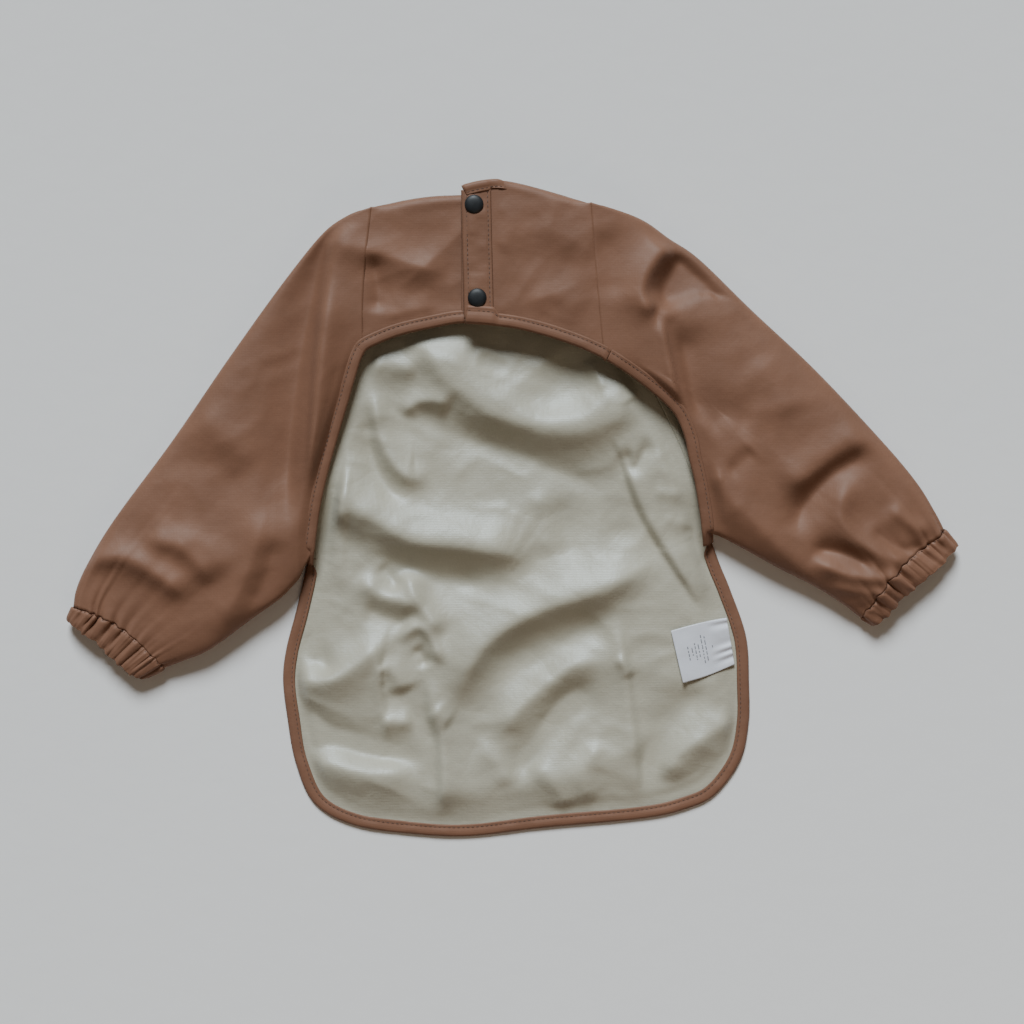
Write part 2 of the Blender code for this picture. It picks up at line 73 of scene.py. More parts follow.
OUTER_LEFT = [(-88, 190.5), (-104, 184.5), (-120, 173), (-143, 145), (-179, 95), (-214, 44), (-251, -6),
              (-268, -34), (-275, -50), (-276.6, -61)]
OUTER_RIGHT = [(49, 192.6), (80, 183), (99, 171), (118, 158), (151, 126), (191, 88.5), (233, 44),
               (255, 18), (267, -1), (273.4, -13)]
UNDER_LEFT = [(-134.5, -43), (-146, -55), (-164, -68), (-190, -87), (-206, -94), (-220, -99)]
UNDER_RIGHT = [(129, -15), (138, -19.5), (150, -26), (170, -37), (190, -47), (208, -58), (221, -68)]
CUFF_MOUTH_LEFT = [(-282.4, -70.5), (-266, -80.5), (-252, -93), (-241, -103.5), (-234, -107)]
CUFF_MOUTH_RIGHT = [(282.9, -23.5), (274, -31), (258, -46), (245, -57), (238, -66), (230.5, -73.6)]
FOLD_LEFT = ((-120, 173), (-134.5, -43))
FOLD_RIGHT = ((99, 171), (129, -15))

# The inward direction of the arch's tape where its two lengths meet at a back seam
MITRE = {"left": (-0.81, 0.58, 0.0), "right": (0.465, 0.885, 0.0)}

# ---------------------------------------------------------------- heights and widths (mm)
EDGE_Z = 1.3
LEFT_BACK_Z = 18.4
RIGHT_BACK_Z = 24.5
CLOTH = 0.55
TAPE_HALF = 1.25
PLACKET_WIDTH = {"left": 15.2, "right": 17.2}
TAPE_SPACING = 1.6
TAPE_WOBBLE = 0.22
TURNED_STEPS = 48
SLEEVE_RUN = 170.0

# ---------------------------------------------------------------- numbers on curves


def spaced(line, count):
    """Points at even distances along a polyline, or at given shares of its length."""
    steps = np.linalg.norm(np.diff(line, axis=0), axis=1)
    run = np.concatenate([[0], np.cumsum(steps)])
    goal = np.linspace(0, run[-1], count) if isinstance(count, int) else np.asarray(count) * run[-1]
    return np.stack([np.interp(goal, run, line[:, i]) for i in range(line.shape[1])], 1)


def spline(points, count=80):
    """Points spaced evenly along a smooth curve through the given ones."""
    knots = np.array(points, float)
    ends = np.vstack([2 * knots[0] - knots[1], knots, 2 * knots[-1] - knots[-2]])
    t = np.linspace(0, 1, 13)[:-1, None]
    runs = []
    for a, b, c, d in zip(ends, ends[1:], ends[2:], ends[3:]):
        bend = (2 * a - 5 * b + 4 * c - d) * t**2 + (3 * b - a - 3 * c + d) * t**3
        runs.append(0.5 * (2 * b + (c - a) * t + bend))
    return spaced(np.vstack(runs + [knots[-1:]]), count)


def inset(line, distance):
    """A line in plan, moved to its left."""
    step = np.gradient(line, axis=0)
    step /= np.linalg.norm(step, axis=1)[:, None]
    return line + np.stack([-step[:, 1], step[:, 0]], 1) * distance


def coons(left, right, bottom, top, u, v):
    """A grid of points between four lines: v runs up left and right, u along bottom and top."""
    left, right, bottom, top = spaced(left, v), spaced(right, v), spaced(bottom, u), spaced(top, u)
    u, v = u[None, :, None], v[:, None, None]
    ruled = bottom[None] * (1 - v) + top[None] * v + left[:, None] * (1 - u) + right[:, None] * u
    corners = (bottom[0] * (1 - u) + bottom[-1] * u) * (1 - v) + (top[0] * (1 - u) + top[-1] * u) * v
    return ruled - corners


def ease(x):
    x = np.clip(x, 0, 1)
    return x * x * (3 - 2 * x)


def nearest(xy, line):
    """Distance to a polyline, which side of it (left is +1), and how far along it (0 to 1)."""
    flat = xy.reshape(-1, 2)
    best = np.full(len(flat), 1e9)
    side = np.ones(len(flat))
    share = np.zeros(len(flat))
    count = len(line) - 1
    for i, (a, b) in enumerate(zip(line, line[1:])):
        step = b - a
        away = flat - a
        t = np.clip(away @ step / (step @ step), 0, 1)
        off = away - t[:, None] * step
        distance = np.hypot(off[:, 0], off[:, 1])
        closer = distance < best
        best = np.where(closer, distance, best)
        cross = step[0] * away[:, 1] - step[1] * away[:, 0]
        side = np.where(closer, np.sign(cross), side)
        share = np.where(closer, (i + t) / count, share)
    shape = xy.shape[:-1]
    return best.reshape(shape), side.reshape(shape), share.reshape(shape)


def fade(share, ends):
    """1 along a fold, falling to 0 at the ends named: s for its start, e for its end."""
    low = ease(share / 0.25) if "s" in ends else 1.0
    high = ease((1 - share) / 0.25) if "e" in ends else 1.0
    return low * high


def folded(xy, folds):
    """The height that folds add: each is (points, height, width to its left, width to its right, ends)."""
    total = np.zeros(xy.shape[:-1])
    for points, height, left, right, ends in folds:
        distance, side, share = nearest(xy, spline(points, 22))
        width = np.where(side > 0, left, right)
        total += height * np.exp(-((distance / width) ** 1.6)) * fade(share, ends)
    return total


def stepped(xy, steps):
    """The height that overlaps add: each is (points, height on its left, width of the drop, reach, ends)."""
    total = np.zeros(xy.shape[:-1])
    for points, height, drop, reach, ends in steps:
        distance, side, share = nearest(xy, spline(points, 22))
        level = 0.5 + 0.5 * np.tanh(side * distance / drop)
        total += height * level * np.exp(-((distance / reach) ** 2)) * fade(share, ends)
    return total


def noise(xy, scale, seed):
    """Smooth noise between -1 and 1 whose lumps are about scale millimetres across."""
    lattice = np.random.default_rng(seed).uniform(-1, 1, (96, 96))
    place = xy / scale + 48
    cell = np.floor(place).astype(int)
    t = place - cell
    t = t * t * t * (t * (6 * t - 15) + 10)
    i, j = cell[..., 0] % 95, cell[..., 1] % 95
    low = lattice[i, j] * (1 - t[..., 0]) + lattice[i + 1, j] * t[..., 0]
    high = lattice[i, j + 1] * (1 - t[..., 0]) + lattice[i + 1, j + 1] * t[..., 0]
    return low * (1 - t[..., 1]) + high * t[..., 1]


def crumpled(xy, scale, seed, slant=0.0, stretch=1.0):
    """Creased noise between 0 and 1: thin soft crests, longer along the slant (radians)."""
    turn = np.array([[math.cos(slant), -math.sin(slant)], [math.sin(slant), math.cos(slant)]])
    place = xy @ turn / np.array([stretch, 1.0])
    warp = np.stack([noise(place, scale * 1.7, seed + 1), noise(place, scale * 1.7, seed + 2)], -1)
    return 1 - np.sqrt(noise(place + warp * scale * 0.5, scale, seed) ** 2 + 0.01)


def blurred(z, times):
    for _ in range(times):
        padded = np.pad(z, 1, mode="edge")
        z = (padded[1:-1, :-2] + padded[1:-1, 2:] + padded[:-2, 1:-1] + padded[2:, 1:-1] + 4 * z) / 8
    return z


# ---------------------------------------------------------------- meshes


def mesh_object(name, vertices, faces, materials, uv=None):
    mesh = bpy.data.meshes.new(name)
    mesh.from_pydata([tuple(v) for v in np.asarray(vertices) * MM], [], faces)
    if uv is not None:
        layer = mesh.uv_layers.new(name="cloth")
        corners = np.zeros(len(mesh.loops), dtype=int)
        mesh.loops.foreach_get("vertex_index", corners)
        layer.data.foreach_set("uv", (np.asarray(uv)[corners] * MM).ravel())
    for material in materials:
        mesh.materials.append(material)
    mesh.shade_smooth()
    made = bpy.data.objects.new(name, mesh)
    bpy.context.scene.collection.objects.link(made)
    return made


def grid_faces(rows, columns, start=0, closed=False):
    faces = []
    for r in range(rows - 1):
        for c in range(columns if closed else columns - 1):
            d = (c + 1) % columns
            faces.append(
                (start + r * columns + c, start + r * columns + d, start + (r + 1) * columns + d,
                 start + (r + 1) * columns + c)
            )
    return faces


def grid_object(name, points, materials, flip=False, closed=False, uv=None):
    rows, columns = points.shape[:2]
    faces = grid_faces(rows, columns, closed=closed)
    if flip:
        faces = [face[::-1] for face in faces]
    flat = points.reshape(-1, 3)
    uv = flat[:, :2] if uv is None else uv.reshape(-1, 2)
    return mesh_object(name, flat, faces, materials, uv)


def weld(thing, distance=0.05):
    bm = bmesh.new()
    bm.from_mesh(thing.data)
    bmesh.ops.remove_doubles(bm, verts=bm.verts, dist=distance * MM)
    bm.to_mesh(thing.data)
    bm.free()
    thing.data.shade_smooth()


def thicken(thing, thickness=CLOTH, inside=1, rim=0, offset=0.0):
    """Gives cloth its thickness, with its own materials on its inner face and its rim."""
    solid = thing.modifiers.new("thickness", "SOLIDIFY")
    solid.thickness = thickness * MM
    solid.offset = offset
    solid.material_offset = inside
    solid.material_offset_rim = rim
    solid.use_rim = True
    return thing


def applied(thing):
    """Bakes the modifiers into the mesh."""
    bpy.context.view_layer.update()
    graph = bpy.context.evaluated_depsgraph_get()
    mesh = bpy.data.meshes.new_from_object(thing.evaluated_get(graph))
    thing.modifiers.clear()
    thing.data = mesh
    return thing


# ---------------------------------------------------------------- materials


class Shader:
    """A node material, built by naming nodes and linking sockets."""

    def __init__(self, name, colour, roughness):
        self.material = bpy.data.materials.new(name)
        self.material.use_nodes = True
        self.tree = self.material.node_tree
        self.surface = self.tree.nodes["Principled BSDF"]
        self.surface.inputs["Base Color"].default_value = (*colour, 1)
        self.surface.inputs["Roughness"].default_value = roughness

    def node(self, kind, **inputs):
        made = self.tree.nodes.new(kind)
        for name, value in inputs.items():
            socket = made.inputs[name.replace("_", " ")]
            if isinstance(value, bpy.types.NodeSocket):
                self.tree.links.new(value, socket)
            else:
                socket.default_value = value
        return made

    def link(self, output, name):
        self.tree.links.new(output, self.surface.inputs[name])

    def place(self):
        """Cloth coordinates in metres."""
        return self.node("ShaderNodeTexCoord").outputs["UV"]

    def position(self):
        return self.node("ShaderNodeTexCoord").outputs["Object"]

    def noise(self, place, scale, detail=3.0, roughness=0.5):
        return self.node("ShaderNodeTexNoise", Vector=place, Scale=scale, Detail=detail, Roughness=roughness).outputs[0]

    def wave(self, place, scale, along, distortion=0.0, detail_scale=1.0):
        made = self.node("ShaderNodeTexWave", Vector=place, Scale=scale, Distortion=distortion)
        made.inputs["Detail"].default_value = 1.0
        made.inputs["Detail Scale"].default_value = detail_scale
        made.bands_direction = along
        return made.outputs["Fac"]

    def math(self, operation, a, b):
        made = self.node("ShaderNodeMath")
        made.operation = operation
        for socket, value in zip(made.inputs, (a, b)):
            if isinstance(value, bpy.types.NodeSocket):
                self.tree.links.new(value, socket)
            else:
                socket.default_value = value
        return made.outputs[0]

    def ramp(self, factor, low, high, start=0.0, end=1.0):
        made = self.node("ShaderNodeValToRGB", Fac=factor)
        made.color_ramp.elements[0].color = (*low, 1)
        made.color_ramp.elements[1].color = (*high, 1)
        made.color_ramp.elements[0].position = start
        made.color_ramp.elements[1].position = end
        return made.outputs[0]

    def span(self, factor, low, high):
        made = self.node("ShaderNodeMapRange", Value=factor)
        made.inputs["To Min"].default_value = low
        made.inputs["To Max"].default_value = high
        return made.outputs[0]

    def bump(self, heights):
        """Chains bumps, each (height socket, depth in metres), the coarse ones first."""
        normal = None
        for height, depth in heights:
            made = self.node("ShaderNodeBump", Height=height, Distance=depth, Strength=1.0)
            if normal is not None:
                self.tree.links.new(normal, made.inputs["Normal"])
            normal = made.outputs[0]
        self.link(normal, "Normal")


def coated(name, tint=1.0, roughness=0.56):
    """Polyurethane-coated knit: a soft rubbery tan with a fine grain and faint scuffs."""
    tan = np.array([0.212, 0.104, 0.063]) * tint
    shader = Shader(name, tan, roughness)
    place = shader.place()
    cloud = shader.noise(place, 22.0, 4.0, 0.6)
    shader.link(shader.ramp(cloud, tuple(tan * 0.90), tuple(tan * 1.10), 0.3, 0.7), "Base Color")
    scuff = shader.noise(place, 140.0, 3.0, 0.65)
    shader.link(shader.span(scuff, roughness - 0.07, roughness + 0.08), "Roughness")
    grain = shader.noise(place, 2600.0, 2.0, 0.6)
    knit = shader.math("MULTIPLY", shader.wave(place, 330.0, "X"), shader.wave(place, 290.0, "Y"))
    creases = shader.noise(place, 95.0, 3.0, 0.55)
    shader.bump([(creases, 0.00035), (knit, 0.00003), (grain, 0.00004)])
    shader.surface.inputs["Specular IOR Level"].default_value = 0.32
    shader.surface.inputs["Sheen Weight"].default_value = 0.03
    shader.surface.inputs["Sheen Roughness"].default_value = 0.5
    shader.surface.inputs["Sheen Tint"].default_value = (1.0, 0.82, 0.7, 1)
    return shader.material


def backing(name):
    """The knit backing: a satin-like face of fine wales, with a cool gloss."""
    cream = np.array([0.475, 0.448, 0.350])
    shader = Shader(name, cream, 0.48)
    place = shader.place()
    cloud = shader.noise(place, 16.0, 4.0, 0.6)
    fleck = shader.noise(place, 900.0, 2.0, 0.7)
    mottled = shader.math("ADD", shader.math("MULTIPLY", cloud, 0.65), shader.math("MULTIPLY", fleck, 0.35))
    shader.link(shader.ramp(mottled, tuple(cream * 0.88), tuple(cream * 1.10), 0.3, 0.7), "Base Color")
    wales = shader.wave(place, 420.0, "X", 1.2, 3.0)
    courses = shader.wave(place, 300.0, "Y", 1.2, 3.0)
    loops = shader.math("MULTIPLY", wales, courses)
    shader.link(shader.span(loops, 0.42, 0.56), "Roughness")
    fine = shader.noise(place, 190.0, 4.0, 0.6)
    rumple = shader.math("ABSOLUTE", shader.math("SUBTRACT", shader.noise(place, 26.0, 1.5, 0.4), 0.5), 0.0)
    shader.bump([(rumple, 0.0019), (fine, 0.00030), (loops, 0.00006)])
    shader.surface.inputs["Specular Tint"].default_value = (0.82, 0.93, 1.0, 1)
    shader.surface.inputs["Specular IOR Level"].default_value = 0.85
    shader.surface.inputs["Sheen Weight"].default_value = 0.15
    shader.surface.inputs["Sheen Roughness"].default_value = 0.35
    shader.surface.inputs["Sheen Tint"].default_value = (0.9, 0.97, 1.0, 1)
    return shader.material


def threads(name, colour):
    """Twisted sewing thread."""
    shader = Shader(name, colour, 0.55)
    place = shader.position()
    twist = shader.wave(place, 1500.0, "DIAGONAL")
    shader.link(shader.ramp(twist, tuple(np.array(colour) * 0.75), tuple(np.array(colour) * 1.15)), "Base Color")
    shader.bump([(twist, 0.00005)])
    shader.surface.inputs["Sheen Weight"].default_value = 0.3
    return shader.material


def moulded(name, colour, roughness):
    """Matt moulded plastic with a faint eggshell surface."""
    shader = Shader(name, colour, roughness)
    place = shader.position()
    shell = shader.noise(place, 1800.0, 2.0, 0.5)
    wear = shader.noise(place, 260.0, 4.0, 0.7)
    shader.link(shader.ramp(wear, colour, tuple(np.array(colour) * 1.8), 0.35, 0.8), "Base Color")
    shader.link(shader.span(wear, roughness - 0.08, roughness + 0.10), "Roughness")
    shader.bump([(shell, 0.00003)])
    return shader.material


def satin(name):
    """White woven satin label tape."""
    shader = Shader(name, (0.78, 0.80, 0.86), 0.5)
    place = shader.place()
    weave = shader.math("MULTIPLY", shader.wave(place, 520.0, "X"), shader.wave(place, 520.0, "Y"))
    shader.link(shader.ramp(weave, (0.70, 0.72, 0.79), (0.84, 0.86, 0.91)), "Base Color")
    shader.link(shader.span(weave, 0.42, 0.6), "Roughness")
    shader.bump([(shader.noise(place, 240.0), 0.0001), (weave, 0.00004)])
    return shader.material


def printed(name):
    """Grey print on the label."""
    shader = Shader(name, (0.16, 0.17, 0.20), 0.6)
    place = shader.position()
    shader.link(shader.ramp(shader.noise(place, 2500.0), (0.10, 0.11, 0.13), (0.42, 0.43, 0.47)), "Base Color")
    shader.bump([(shader.noise(place, 900.0), 0.00002)])
    return shader.material


def braided(name):
    """Braided elastic."""
    shader = Shader(name, (0.62, 0.60, 0.54), 0.75)
    place = shader.position()
    braid = shader.wave(place, 500.0, "DIAGONAL")
    shader.link(shader.ramp(braid, (0.48, 0.46, 0.41), (0.68, 0.66, 0.60)), "Base Color")
    shader.bump([(braid, 0.0002)])
    return shader.material


TAN = coated("tan_coated_cloth")
TAPE_TAN = coated("tan_binding_tape", 0.97, 0.56)
CREAM = backing("cream_knit_backing")
THREAD = threads("dark_tan_thread", (0.085, 0.038, 0.022))
BLACK = moulded("black_snap_plastic", (0.007, 0.009, 0.011), 0.5)
LABEL = satin("white_label_satin")
PRINT = printed("grey_label_print")
ELASTIC = braided("braided_elastic")

# ---------------------------------------------------------------- sewing


def unit(vectors):
    return vectors / np.maximum(np.linalg.norm(vectors, axis=-1, keepdims=True), 1e-9)


def run_of(path):
    """Unit directions along a path."""
    return unit(np.gradient(path, axis=0))


def resampled(path, others, spacing):
    """A path and the lines that go with it, at points about spacing apart."""
    steps = np.linalg.norm(np.diff(path, axis=0), axis=1)
    run = np.concatenate([[0], np.cumsum(steps)])
    count = max(3, int(round(run[-1] / spacing)) + 1)
    goal = np.linspace(0, run[-1], count)
    lines = [np.stack([np.interp(goal, run, line[:, i]) for i in range(3)], 1) for line in [path, *others]]
    return lines


def stitches(name, path, up, pitch=3.0, length=2.1, radius=0.24, lift=0.0):
    """A row of stitches along a path: short threads that dip into the cloth at both ends."""
    path, up = resampled(path, [up], pitch)
    middle = (path[:-1] + path[1:]) / 2
    along = unit(path[1:] - path[:-1])
    up = unit((up[:-1] + up[1:]) / 2)
    across = unit(np.cross(along, up))
    sides, rings = 6, 5
    angle = np.arange(sides) / sides * math.tau
    s = np.linspace(-1, 1, rings)
    girth = np.sqrt(np.clip(1 - s**4 * 0.75, 0, 1)) * radius
    height = lift - 0.9 * radius * s**2
    centre = middle[:, None] + along[:, None] * (s * length / 2)[None, :, None] + up[:, None] * height[None, :, None]
    circle = np.cos(angle)[None, :, None] * across[:, None] + np.sin(angle)[None, :, None] * up[:, None]
    points = centre[:, :, None] + circle[:, None] * girth[None, :, None, None]
    vertices = points.reshape(-1, 3)
    faces = []
    block = sides * rings
    for k in range(len(middle)):
        start = k * block
        faces += grid_faces(rings, sides, start, closed=True)
        faces.append(tuple(start + i for i in range(sides))[::-1])
        faces.append(tuple(start + block - sides + i for i in range(sides)))
    made = mesh_object(name, vertices, faces, [THREAD])
    return made


def folded_tape(name, edge, inward, leaf, seed, over=None, meet=None, taper=0.0):
    """Binding tape folded over a cloth's edge, plump at its fold and pressed down where it is stitched.

    edge runs along the cloth's edge, and inward points from it into the cloth. Where it passes over another folded
    piece, over says from which share of its length, and how many times wider and thicker it is there. Where it
    carries on into another tape, meet is which end (0 or -1) and the inward direction that they share there.
    Returns the tape and its stitches.
    """
    edge, inward = resampled(edge, [inward], TAPE_SPACING)
    run = run_of(edge)
    inward = unit(inward - run * np.sum(inward * run, 1)[:, None])
    shares = np.linspace(0, 1, len(edge))
    if meet:
        end, shared = meet
        near = ease(1 - np.linalg.norm(edge - edge[end], axis=1) / 9.0)[:, None]
        inward = unit(inward * (1 - near) + np.array(shared) * near)
    up = unit(np.cross(run, inward))
    up *= np.sign(up[:, 2:3] + 1e-9)
    stitch_at = leaf * 0.70
    from_share, wider, thicker = over or (2.0, 1.0, 1.0)
    swell = ease((shares - from_share) / 0.02)[:, None]
    widths, heights_by = 1 + (wider - 1) * swell, 1 + (thicker - 1) * swell
    length = np.sum(np.linalg.norm(np.diff(edge, axis=0), axis=1))
    if taper:
        from_end = np.minimum(shares, 1 - shares) * length
        widths = widths * (0.22 + 0.78 * ease(from_end / taper))[:, None]
    ripple = noise(np.stack([shares * length, np.zeros(len(edge))], 1), 9.0, seed) * TAPE_WOBBLE
    pull = noise(np.stack([shares * length, np.full(len(edge), 50.0)], 1), 21.0, seed) * TAPE_WOBBLE
    outward = 1.15
    xs = np.array([leaf, leaf - 0.35, stitch_at + 0.9, stitch_at, stitch_at - 0.9, leaf * 0.28, 0.35, -0.5, -outward])
    hs = np.array([0.62, 0.86, 0.92, 0.70, 0.98, 1.10, 1.06, 0.80, 0.0]) * TAPE_HALF
    across = np.concatenate([xs, xs[-2::-1]])
    heights = np.concatenate([hs, -hs[-2::-1]])
    plump = np.where(np.abs(heights) > 0.9 * TAPE_HALF, 1.0, 0.3)
    at_inner_edge = across > leaf * 0.9
    points = (
        edge[:, None]
        + inward[:, None] * (across * np.where(across > 0, widths, 1) + pull[:, None] * at_inner_edge)[..., None]
        + up[:, None] * (heights * heights_by + ripple[:, None] * plump * np.sign(heights))[..., None]
    )
    for end, step in ((0, -1), (-1, 1)):
        if meet and meet[0] == end:
            extra = points[end] + run[end] * step * 0.25
            points = np.vstack([extra[None], points] if end == 0 else [points, extra[None]])
            continue
        middle = edge[end] + inward[end] * across[:, None]
        closing = middle + (points[end] - middle) * 0.45 + run[end] * step * 0.5
        points = np.vstack([closing[None], points] if end == 0 else [points, closing[None]])
    shares = np.concatenate([[0], shares, [1]])
    uv = np.stack(np.broadcast_arrays(shares[:, None] * length, np.cumsum(np.abs(np.gradient(across)))[None]), -1)
    tape = grid_object(name, points, [TAPE_TAN, TAPE_TAN], uv=uv)
    thicken(tape, 0.32, inside=1)
    reach, rise = stitch_at * widths, 0.70 * TAPE_HALF * heights_by + 0.30
    on_top = edge + inward * reach + up * rise
    below = edge + inward * reach - up * rise
    top_row = stitches(f"{name}_stitches", on_top, up)
    low_row = stitches(f"{name}_under_stitches", below, -up)
    return tape, top_row, low_row


def turned(name, profile, centre, material, loop=False):
    """A turned piece from a profile of (radius, height)."""
    profile = np.array(profile, float)
    angle = np.arange(TURNED_STEPS) / TURNED_STEPS * math.tau
    circle = np.stack([np.cos(angle), np.sin(angle)], 1)
    points = np.concatenate(
        [profile[:, None, :1] * circle[None], np.broadcast_to(profile[:, None, 1:], (len(profile), TURNED_STEPS, 1))], 2
    )
    points = points + np.asarray(centre, float)
    if loop:
        points = np.concatenate([points, points[:1]])
    faces = [face[::-1] for face in grid_faces(len(points), TURNED_STEPS, closed=True)]
    made = mesh_object(name, points.reshape(-1, 3), faces, [material])
    weld(made, 0.001)
    return made


# ---------------------------------------------------------------- the front
FRONT_BASE = 6.2
RISE_START, RISE_END = 6.5, 30.0
FOLD_GAIN, LARGE_CREASES, SMALL_CREASES = 1.3, 1.3, 1.15
POCKET_TOP = 2.3
HEM_END_LEFT, HEM_END_RIGHT = -30.0, -18.5

# Folds of the front: points along the crest, its height, its width to the left and to the right, and soft ends.
FRONT_FOLDS = [
    ([(-62, 116), (-50, 99), (-37.6, 82.6), (-12, 63), (17, 53.5), (42, 54), (62, 63)], 10.5, 18, 14, "s"),
    ([(-57, 50), (-30, 46), (0, 38), (30, 26), (52, 15), (66, 8)], -3.2, 10, 10, "se"),
    ([(-94, 89), (-76, 92), (-58, 86)], 2.6, 8, 8, "se"),
    ([(-71, 59), (-62, 67), (-50, 69), (-37, 64)], 4.4, 8, 6, "se"),
    ([(-86, 80), (-84, 50), (-76, 31), (-63, 20), (-51, 28)], 4.6, 9, 6, "se"),
    ([(-91, 70), (-89, 37), (-78, 13), (-61, 4)], -2.4, 7, 6, "se"),
    ([(-103, 3), (-85, -6), (-63, -18), (-30, -21.5), (-2, -27), (14, -38)], 10, 19, 11, "e"),
    ([(-92, -22), (-78, -31), (-48, -42), (-12, -47)], -3.0, 9, 9, "se"),
    ([(-98, -40), (-84, -53), (-68, -58), (-58, -66)], 4.2, 7, 9, "se"),
    ([(-69, -36), (-58, -59), (-43, -80)], 5.0, 8, 6, "se"),
    ([(-84, -34), (-76, -43), (-72, -52)], -2.4, 5, 5, "se"),
    ([(-96, -62), (-80, -68), (-62, -74)], -2.6, 8, 8, "se"),
    ([(100, -26), (62, -47), (30, -58), (8, -67), (-12, -80), (-26, -96), (-34, -114), (-40, -134)],
     9.0, 11, 17, "se"),
    ([(70, -64), (40, -78), (10, -94), (-12, -114)], -2.6, 14, 14, "se"),
    ([(-143, -108), (-126, -108), (-111, -106), (-97, -97), (-84, -88), (-73, -92)], 7.0, 10, 15, "e"),
    ([(-84, -97), (-74, -103), (-68, -116)], 3.6, 9, 8, "se"),
    ([(-77, -88), (-84, -106), (-83, -121), (-76, -147)], 1.9, 2.4, 4.5, "se"),
    ([(-134, -78), (-122, -93), (-113, -106)], -3.6, 7, 7, "se"),
    ([(-72, -85), (-66, -76), (-57, -74), (-49, -84), (-45, -99)], 3.4, 4.5, 4.5, "se"),
    ([(-62, -86), (-57, -92), (-54, -100)], -2.6, 4.5, 4.5, "se"),
    ([(-52, -101), (-50, -127), (-45, -142), (-43.5, -160), (-43, -196)], 4.2, 11, 3.4, "se"),
    ([(-50, -124), (-44, -130), (-38, -134)], 2.6, 6, 6, "se"),
    ([(-82, -132), (-72, -134), (-62, -132)], 3.0, 7, 6, "se"),
    ([(-136, -134), (-104, -146), (-76, -156), (-54, -157)], -4.6, 9, 9, "e"),
    ([(-134, -155), (-108, -163), (-84, -166), (-58, -162)], 6.0, 10, 14, "se"),
    ([(66, -60), (68.5, -86), (70.5, -97), (77, -147), (80.5, -192)], 3.2, 3.4, 12, "se"),
    ([(65, -92), (71.5, -98), (75, -106)], 2.2, 3.4, 3.4, "se"),
    ([(58, -112), (30, -127), (15, -148), (-4, -174)], -4.6, 11, 11, "se"),
    ([(64, -92), (38, -99), (18, -113), (0, -131), (-14, -150)], 4.4, 10, 10, "se"),
    ([(128, -110), (101, -131), (89, -157), (82, -180)], -4.6, 11, 11, "se"),
    ([(146, -128), (120, -145), (104, -156), (94, -176)], 4.4, 11, 9, "se"),
    ([(10, -160), (26, -172), (36, -192)], 3.2, 9, 9, "se"),
    ([(58, -144), (45, -166), (52, -188)], 2.8, 9, 8, "se"),
    ([(70, 42), (76, 27), (82, 34), (88, 47)], -2.8, 4.5, 5, "se"),
    ([(26, 8), (36, -13), (38, -34)], -1.5, 8, 8, "se"),
    ([(13, 14), (22, -10), (26, -30)], 1.6, 8, 8, "se"),
    ([(48, 96), (54, 84), (58, 74)], 1.4, 4, 4, "se"),
    ([(-24, -150), (-8, -160), (-2, -176)], 1.8, 7, 7, "se"),
    ([(88, 14), (100, 10), (114, 14)], 1.2, 4, 5, "se"),
    ([(96, -2), (104, -8), (116, -6)], 1.0, 4, 5, "se"),
]
# Overlaps, where the cloth on the left of a line lies higher than on its right.
FRONT_STEPS = [
    ([(60.4, 50.7), (68, 35.6), (73.7, 18.6), (83, -4), (98, -28.7), (124, -68)], 5.6, 1.3, 32, "se"),
    ([(-104, -60), (-106, -28), (-104, 4), (-104, 47), (-102, 86)], 3.4, 2.2, 24, "se"),
]


def raglan_height(y):
    """Height of the seams between the front and the sleeves, which lift off the table between armpit and neck."""
    return EDGE_Z + 8.0 * ease((y + 24) / 46) * (1 - ease((y - 106) / 32))


def panel_heights(xy, outline, folds, steps, base):
    """Cloth's height over its plan: flat along its edge, then its folds and small creases."""
    distance, _, _ = nearest(xy, outline)
    lift = ease((distance - RISE_START) / (RISE_END - RISE_START))
    quick = ease((distance - RISE_START) / 9.0)
    edge = raglan_height(xy[..., 1])
    big = FOLD_GAIN * folded(xy, folds) + stepped(xy, steps)
    big = big + LARGE_CREASES * 2.0 * (crumpled(xy, 46, 3, 0.5, 1.6) - 0.6) + 1.1 * noise(xy, 38, 10)
    small = SMALL_CREASES * (crumpled(xy, 17, 14, -0.4, 1.4) - 0.6) + 0.16 * noise(xy, 6.5, 16)
    return edge + (base - edge) * lift + (big + small) * quick


def front_lines():
    outside = inset(spline(SIDE_LEFT[::-1] + HEM[1:] + SIDE_RIGHT[1:], 420), 1.5)
    first, last = (np.argmin(np.linalg.norm(outside - np.array(corner), axis=1)) for corner in (HEM[0], HEM[-1]))
    left = np.vstack([outside[first::-1], spline(RAGLAN_LEFT, 90)[1:]])
    right = np.vstack([outside[last:], spline(RAGLAN_RIGHT, 90)[1:]])
    hem = outside[first : last + 1]
    neck = spline(FRONT_NECK, 80)
    neck[0], neck[-1] = left[-1], right[-1]
    return left, right, hem, neck


